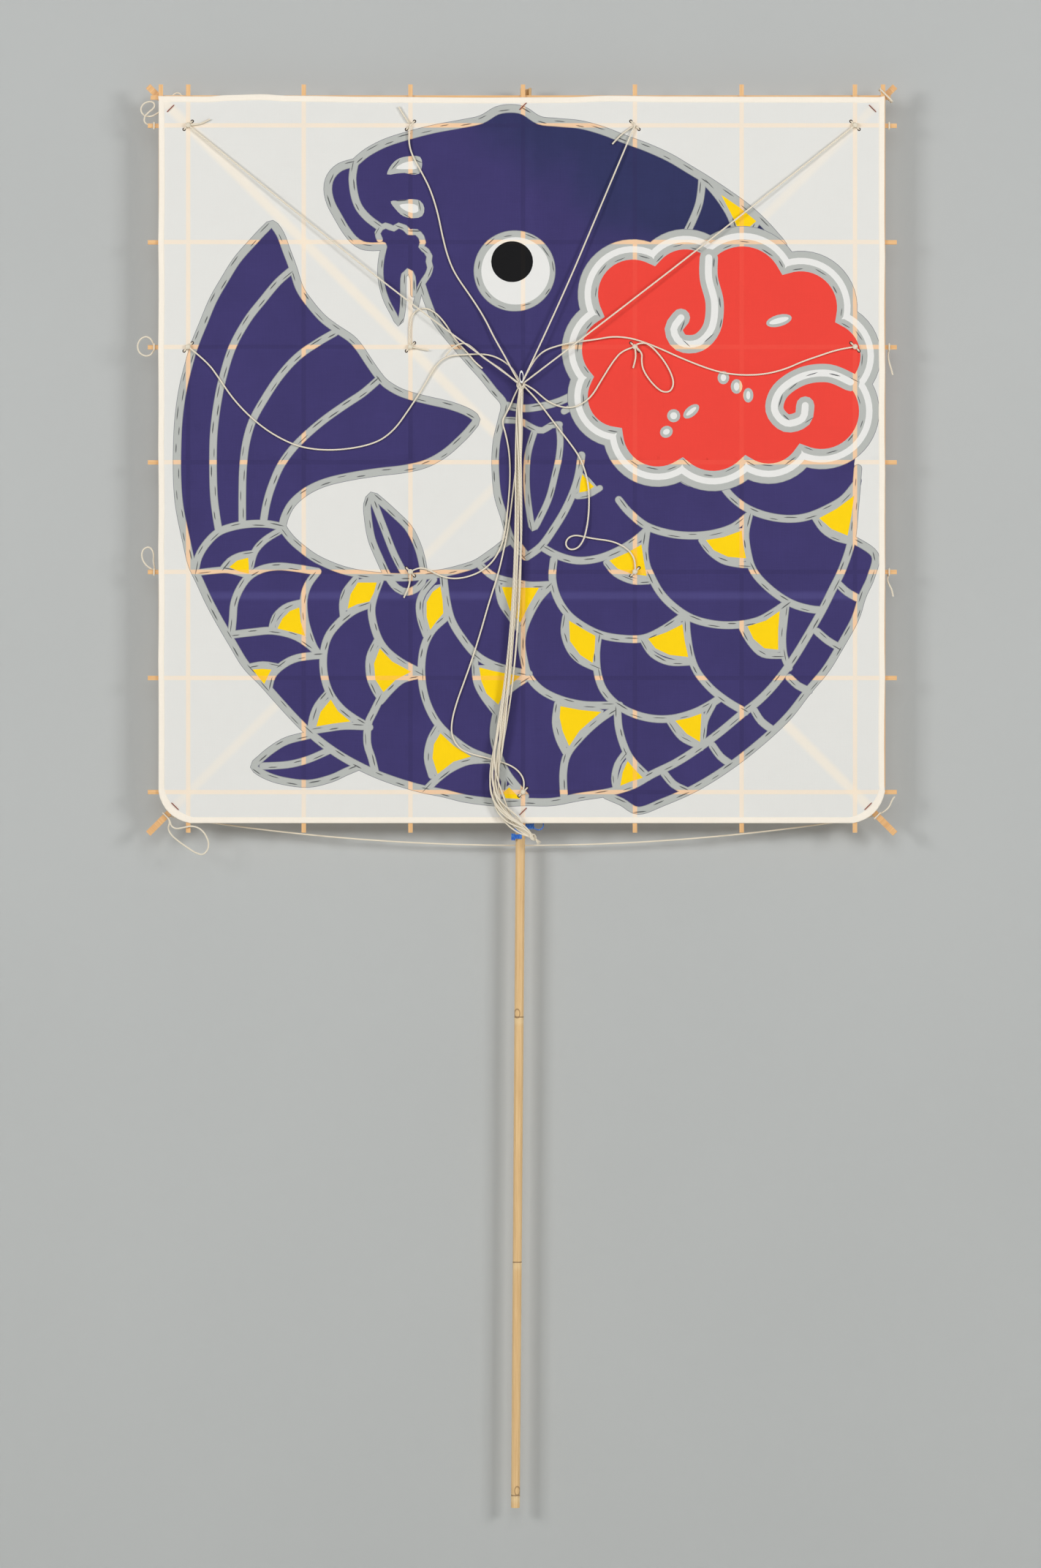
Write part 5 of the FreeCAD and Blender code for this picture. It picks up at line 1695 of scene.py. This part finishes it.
    def colour_faces(self, centres: np.ndarray) -> tuple[np.ndarray, np.ndarray]:
        """Find the topmost colour of each face, and whether a rib lies behind it.

        Args:
            centres: Middle of each face.

        Returns:
            Number of the colour, or -1 for none, and one for a rib.
        """
        order = {layer: number for number, layer in enumerate(Paint)}
        colours = np.full(len(centres), -1)
        shows = np.zeros(len(centres))
        for layer, outline in self.shapes:
            low, high = outline.min(axis=0), outline.max(axis=0)
            near = np.nonzero(((centres >= low) & (centres <= high)).all(axis=1))[0]
            if not len(near):
                continue
            x, z = centres[near].T
            within = np.zeros(len(near), dtype=bool)
            for (ax, az), (bx, bz) in zip(outline, np.roll(outline, -1, axis=0)):
                if az == bz:
                    continue
                crosses = (az > z) != (bz > z)
                within ^= crosses & (x < (bx - ax) * (z - az) / (bz - az) + ax)
            hit = near[within]
            if layer is Unpainted.RIB:
                shows[hit] = 1.0
            elif layer is Unpainted.HOLE:
                colours[hit] = -1
            elif layer is Paint.GROUND:
                colours[hit] = 0
            else:
                colours[hit[colours[hit] >= 0]] = order[layer]
        return colours, shows

    def build(self) -> bpy.types.Object:
        """Returns:
            The painted sheet.
        """
        self.paint_all()
        corners, triangles = self.divide()
        spots = np.array([tuple(corner) for corner in corners])
        colours, shows = self.colour_faces(spots[np.array(triangles)].mean(axis=1))
        kept = [number for number in range(len(triangles)) if colours[number] >= 0]
        keep = [triangles[number] for number in kept]
        order = list(Paint)
        mesh = bpy.data.meshes.new("painted_cotton")
        mesh.from_pydata([place(c.x, billow(c.x, c.y), c.y) for c in corners], [], keep)
        mesh.polygons.foreach_set("material_index", [int(colours[number]) for number in kept])
        shows = [shows[number] for number in kept]
        rib = mesh.attributes.new("rib", "FLOAT", "CORNER")
        values = [show for face, show in zip(keep, shows) for _ in face]
        rib.data.foreach_set("value", values)
        for paint in order:
            mesh.materials.append(paint.value.material())
        mesh.update()
        if mesh.polygons[0].normal.y > 0.0:
            mesh.flip_normals()
        sail = bpy.data.objects.new("painted_sail", mesh)
        bpy.context.scene.collection.objects.link(sail)
        pick_nothing()
        sail.select_set(True)
        bpy.context.view_layer.objects.active = sail
        bpy.ops.object.mode_set(mode="EDIT")
        bpy.ops.mesh.select_all(action="SELECT")
        bpy.ops.mesh.delete_loose()
        bpy.ops.mesh.select_all(action="SELECT")
        bpy.ops.mesh.remove_doubles(threshold=0.003 * MM)
        bpy.ops.object.mode_set(mode="OBJECT")
        bpy.ops.object.shade_smooth()
        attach(sail, "kite")
        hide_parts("sail")
        hem = self.fold_hem()
        LOG.info("sail, %d faces", len(keep))
        return sail

    def fold_hem(self) -> bpy.types.Object:
        """Fold the double edge over.

        Returns:
            The hem.
        """
        # Inset from the edge and height in front of the ribs, round the folded section.
        section = (
            (0.0, -0.15), (0.0, -1.0), (0.8, -1.33), (3.5, -1.26), (6.3, -1.22), (7.6, -1.12),
            (8.2, -0.45),
        )
        rows = [cloth_edge(inset, 6.0) for inset, _ in section]
        count = min(len(row) for row in rows)
        rows = [[row[round(i * len(row) / count) % len(row)] for i in range(count)] for row in rows]
        mesh = bpy.data.meshes.new("hem_fold")
        points = []
        for row, (_, height) in zip(rows, section):
            for i, (x, z) in enumerate(row):
                pucker = 0.07 * noise.noise(Vector((x / 14.0, 1.0, z / 14.0)))
                points.append(place(x, height + pucker, z))
        faces = []
        for k in range(len(section) - 1):
            for i in range(count):
                j = (i + 1) % count
                faces.append((k * count + i, (k + 1) * count + i, (k + 1) * count + j, k * count + j))
        mesh.from_pydata(points, [], faces)
        mesh.materials.append(HEM_COTTON.material())
        mesh.update()
        hem = bpy.data.objects.new("hem_fold", mesh)
        bpy.context.scene.collection.objects.link(hem)
        pick_nothing()
        hem.select_set(True)
        bpy.context.view_layer.objects.active = hem
        bpy.ops.object.mode_set(mode="EDIT")
        bpy.ops.mesh.select_all(action="SELECT")
        bpy.ops.mesh.normals_make_consistent(inside=False)
        bpy.ops.object.mode_set(mode="OBJECT")
        front = [face for face in mesh.polygons if abs(face.normal.y) > 0.7]
        if sum(face.normal.y for face in front) > 0.0:
            mesh.flip_normals()
        bpy.ops.object.shade_smooth()
        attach(hem, "kite")
        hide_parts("hem")
        LOG.info("hem")
        return hem


def _turn(degrees: float) -> Matrix:
    """Rotation in the plane of the cloth."""
    return Matrix.Rotation(math.radians(degrees), 2)


# ---- studio ----------------------------------------------------------------------------
class Studio:
    """Wall, floor, lights and camera."""

    WALL_Y = 0.046
    FLOOR_Z = -2.32
    SHEET_SIZE = 9.0

    def plain(self, name: str, colour: str, one_sided: bool) -> bpy.types.Material:
        """Matt paint, unseen from behind where the sheet is one-sided.

        Args:
            name: Name of the material.
            colour: Its colour.
            one_sided: True for a wall that a view from behind looks through.

        Returns:
            The material.
        """
        paint = Surface(name, 0.95, 0.1)
        tone = paint.mottle((700.0, 700.0, 700.0), 2.0)
        value = paint.add("MapRange", {}, tone, 0.3, 0.7, 0.985, 1.015)
        colour_node = paint.add("Mix", TINT_TIMES, 1.0, linear(colour), value)
        paint.shade(colour_node, tone, 0.01, 0.1)
        if one_sided:
            back = paint.add("NewGeometry", {})
            clear = paint.add("BsdfTransparent", {})
            mixed = paint.add("MixShader", {}, back.outputs["Backfacing"], paint.shader, clear)
            output = paint.tree.nodes["Material Output"]
            paint.tree.links.new(mixed.outputs[0], output.inputs["Surface"])
        return paint.material

    def sheet(
        self, name: str, centre: Vector, size: float, upright: bool, material: bpy.types.Material
    ) -> None:
        """Set up one flat background sheet.

        Args:
            name: Its name.
            centre: Its middle, in metres.
            size: Its side.
            upright: True for the wall.
            material: Its paint.
        """
        pick_nothing()
        bpy.ops.mesh.primitive_plane_add(size=size, location=centre)
        sheet = bpy.context.object
        sheet.name = name
        if upright:
            sheet.rotation_euler = (math.radians(90.0), 0.0, 0.0)
            sheet.visible_shadow = False
        settle(sheet)
        sheet.data.materials.append(material)

    def light(self, name: str, spot: Point3, aim: Point3, size: float, power: float) -> None:
        """Hang one soft area light.

        Args:
            name: Its name.
            spot: Where it hangs.
            aim: Where it points.
            size: Its side.
            power: Its power in watts.
        """
        lamp = bpy.data.lights.new(name, "AREA")
        lamp.shape = "SQUARE"
        lamp.size = size
        lamp.energy = power
        holder = bpy.data.objects.new(name, lamp)
        holder.location = spot
        holder.rotation_euler = (Vector(aim) - Vector(spot)).to_track_quat("-Z", "Y").to_euler()
        bpy.context.scene.collection.objects.link(holder)

    def build(self) -> None:
        """Set the whole studio up."""
        wall_paint = self.plain("grey_wall_paint", "#B3B5B4", True)
        self.sheet("wall", Vector((0.0, self.WALL_Y, -0.9)), self.SHEET_SIZE, True, wall_paint)
        floor_paint = self.plain("pale_floor_paint", "#D8D8D4", False)
        self.sheet("floor", Vector((0.0, 0.0, self.FLOOR_Z)), self.SHEET_SIZE, False, floor_paint)
        middle = (0.0, 0.0, -0.7)
        self.light("left_bank", (-3.6, -3.4, 0.4), middle, 1.3, 106.0)
        self.light("right_bank", (3.6, -3.4, 0.4), middle, 1.3, 106.0)
        self.light("front_bank", (0.0, -5.2, 1.6), middle, 3.0, 68.0)
        self.light("rear_fill", (0.0, 4.5, 0.6), middle, 3.0, 130.0)
        bpy.context.scene.view_settings.view_transform = "Standard"
        world = bpy.data.worlds.new("studio_air")
        world.use_nodes = True
        sky = world.node_tree.nodes["Background"]
        sky.inputs["Color"].default_value = linear("#E6E8E8")
        sky.inputs["Strength"].default_value = 0.25
        bpy.context.scene.world = world
        lens = bpy.data.cameras.new("camera")
        lens.lens = 100.75
        lens.sensor_width = 36.0
        lens.sensor_fit = "AUTO"
        camera = bpy.data.objects.new("camera", lens)
        camera.location = (-0.0015, -6.0, -0.939)
        camera.rotation_euler = (math.radians(90.0), 0.0, 0.0)
        bpy.context.scene.collection.objects.link(camera)
        bpy.context.scene.camera = camera


def main() -> None:
    """Build every sub-assembly in order."""
    logging.basicConfig(level=logging.INFO, format="%(name)s: %(message)s")
    Studio().build()
    Bridle().build()
    Hank().build()
    BowStrings().build()
    Frame().dress()
    Sail().build()


if __name__ == "__main__":
    main()
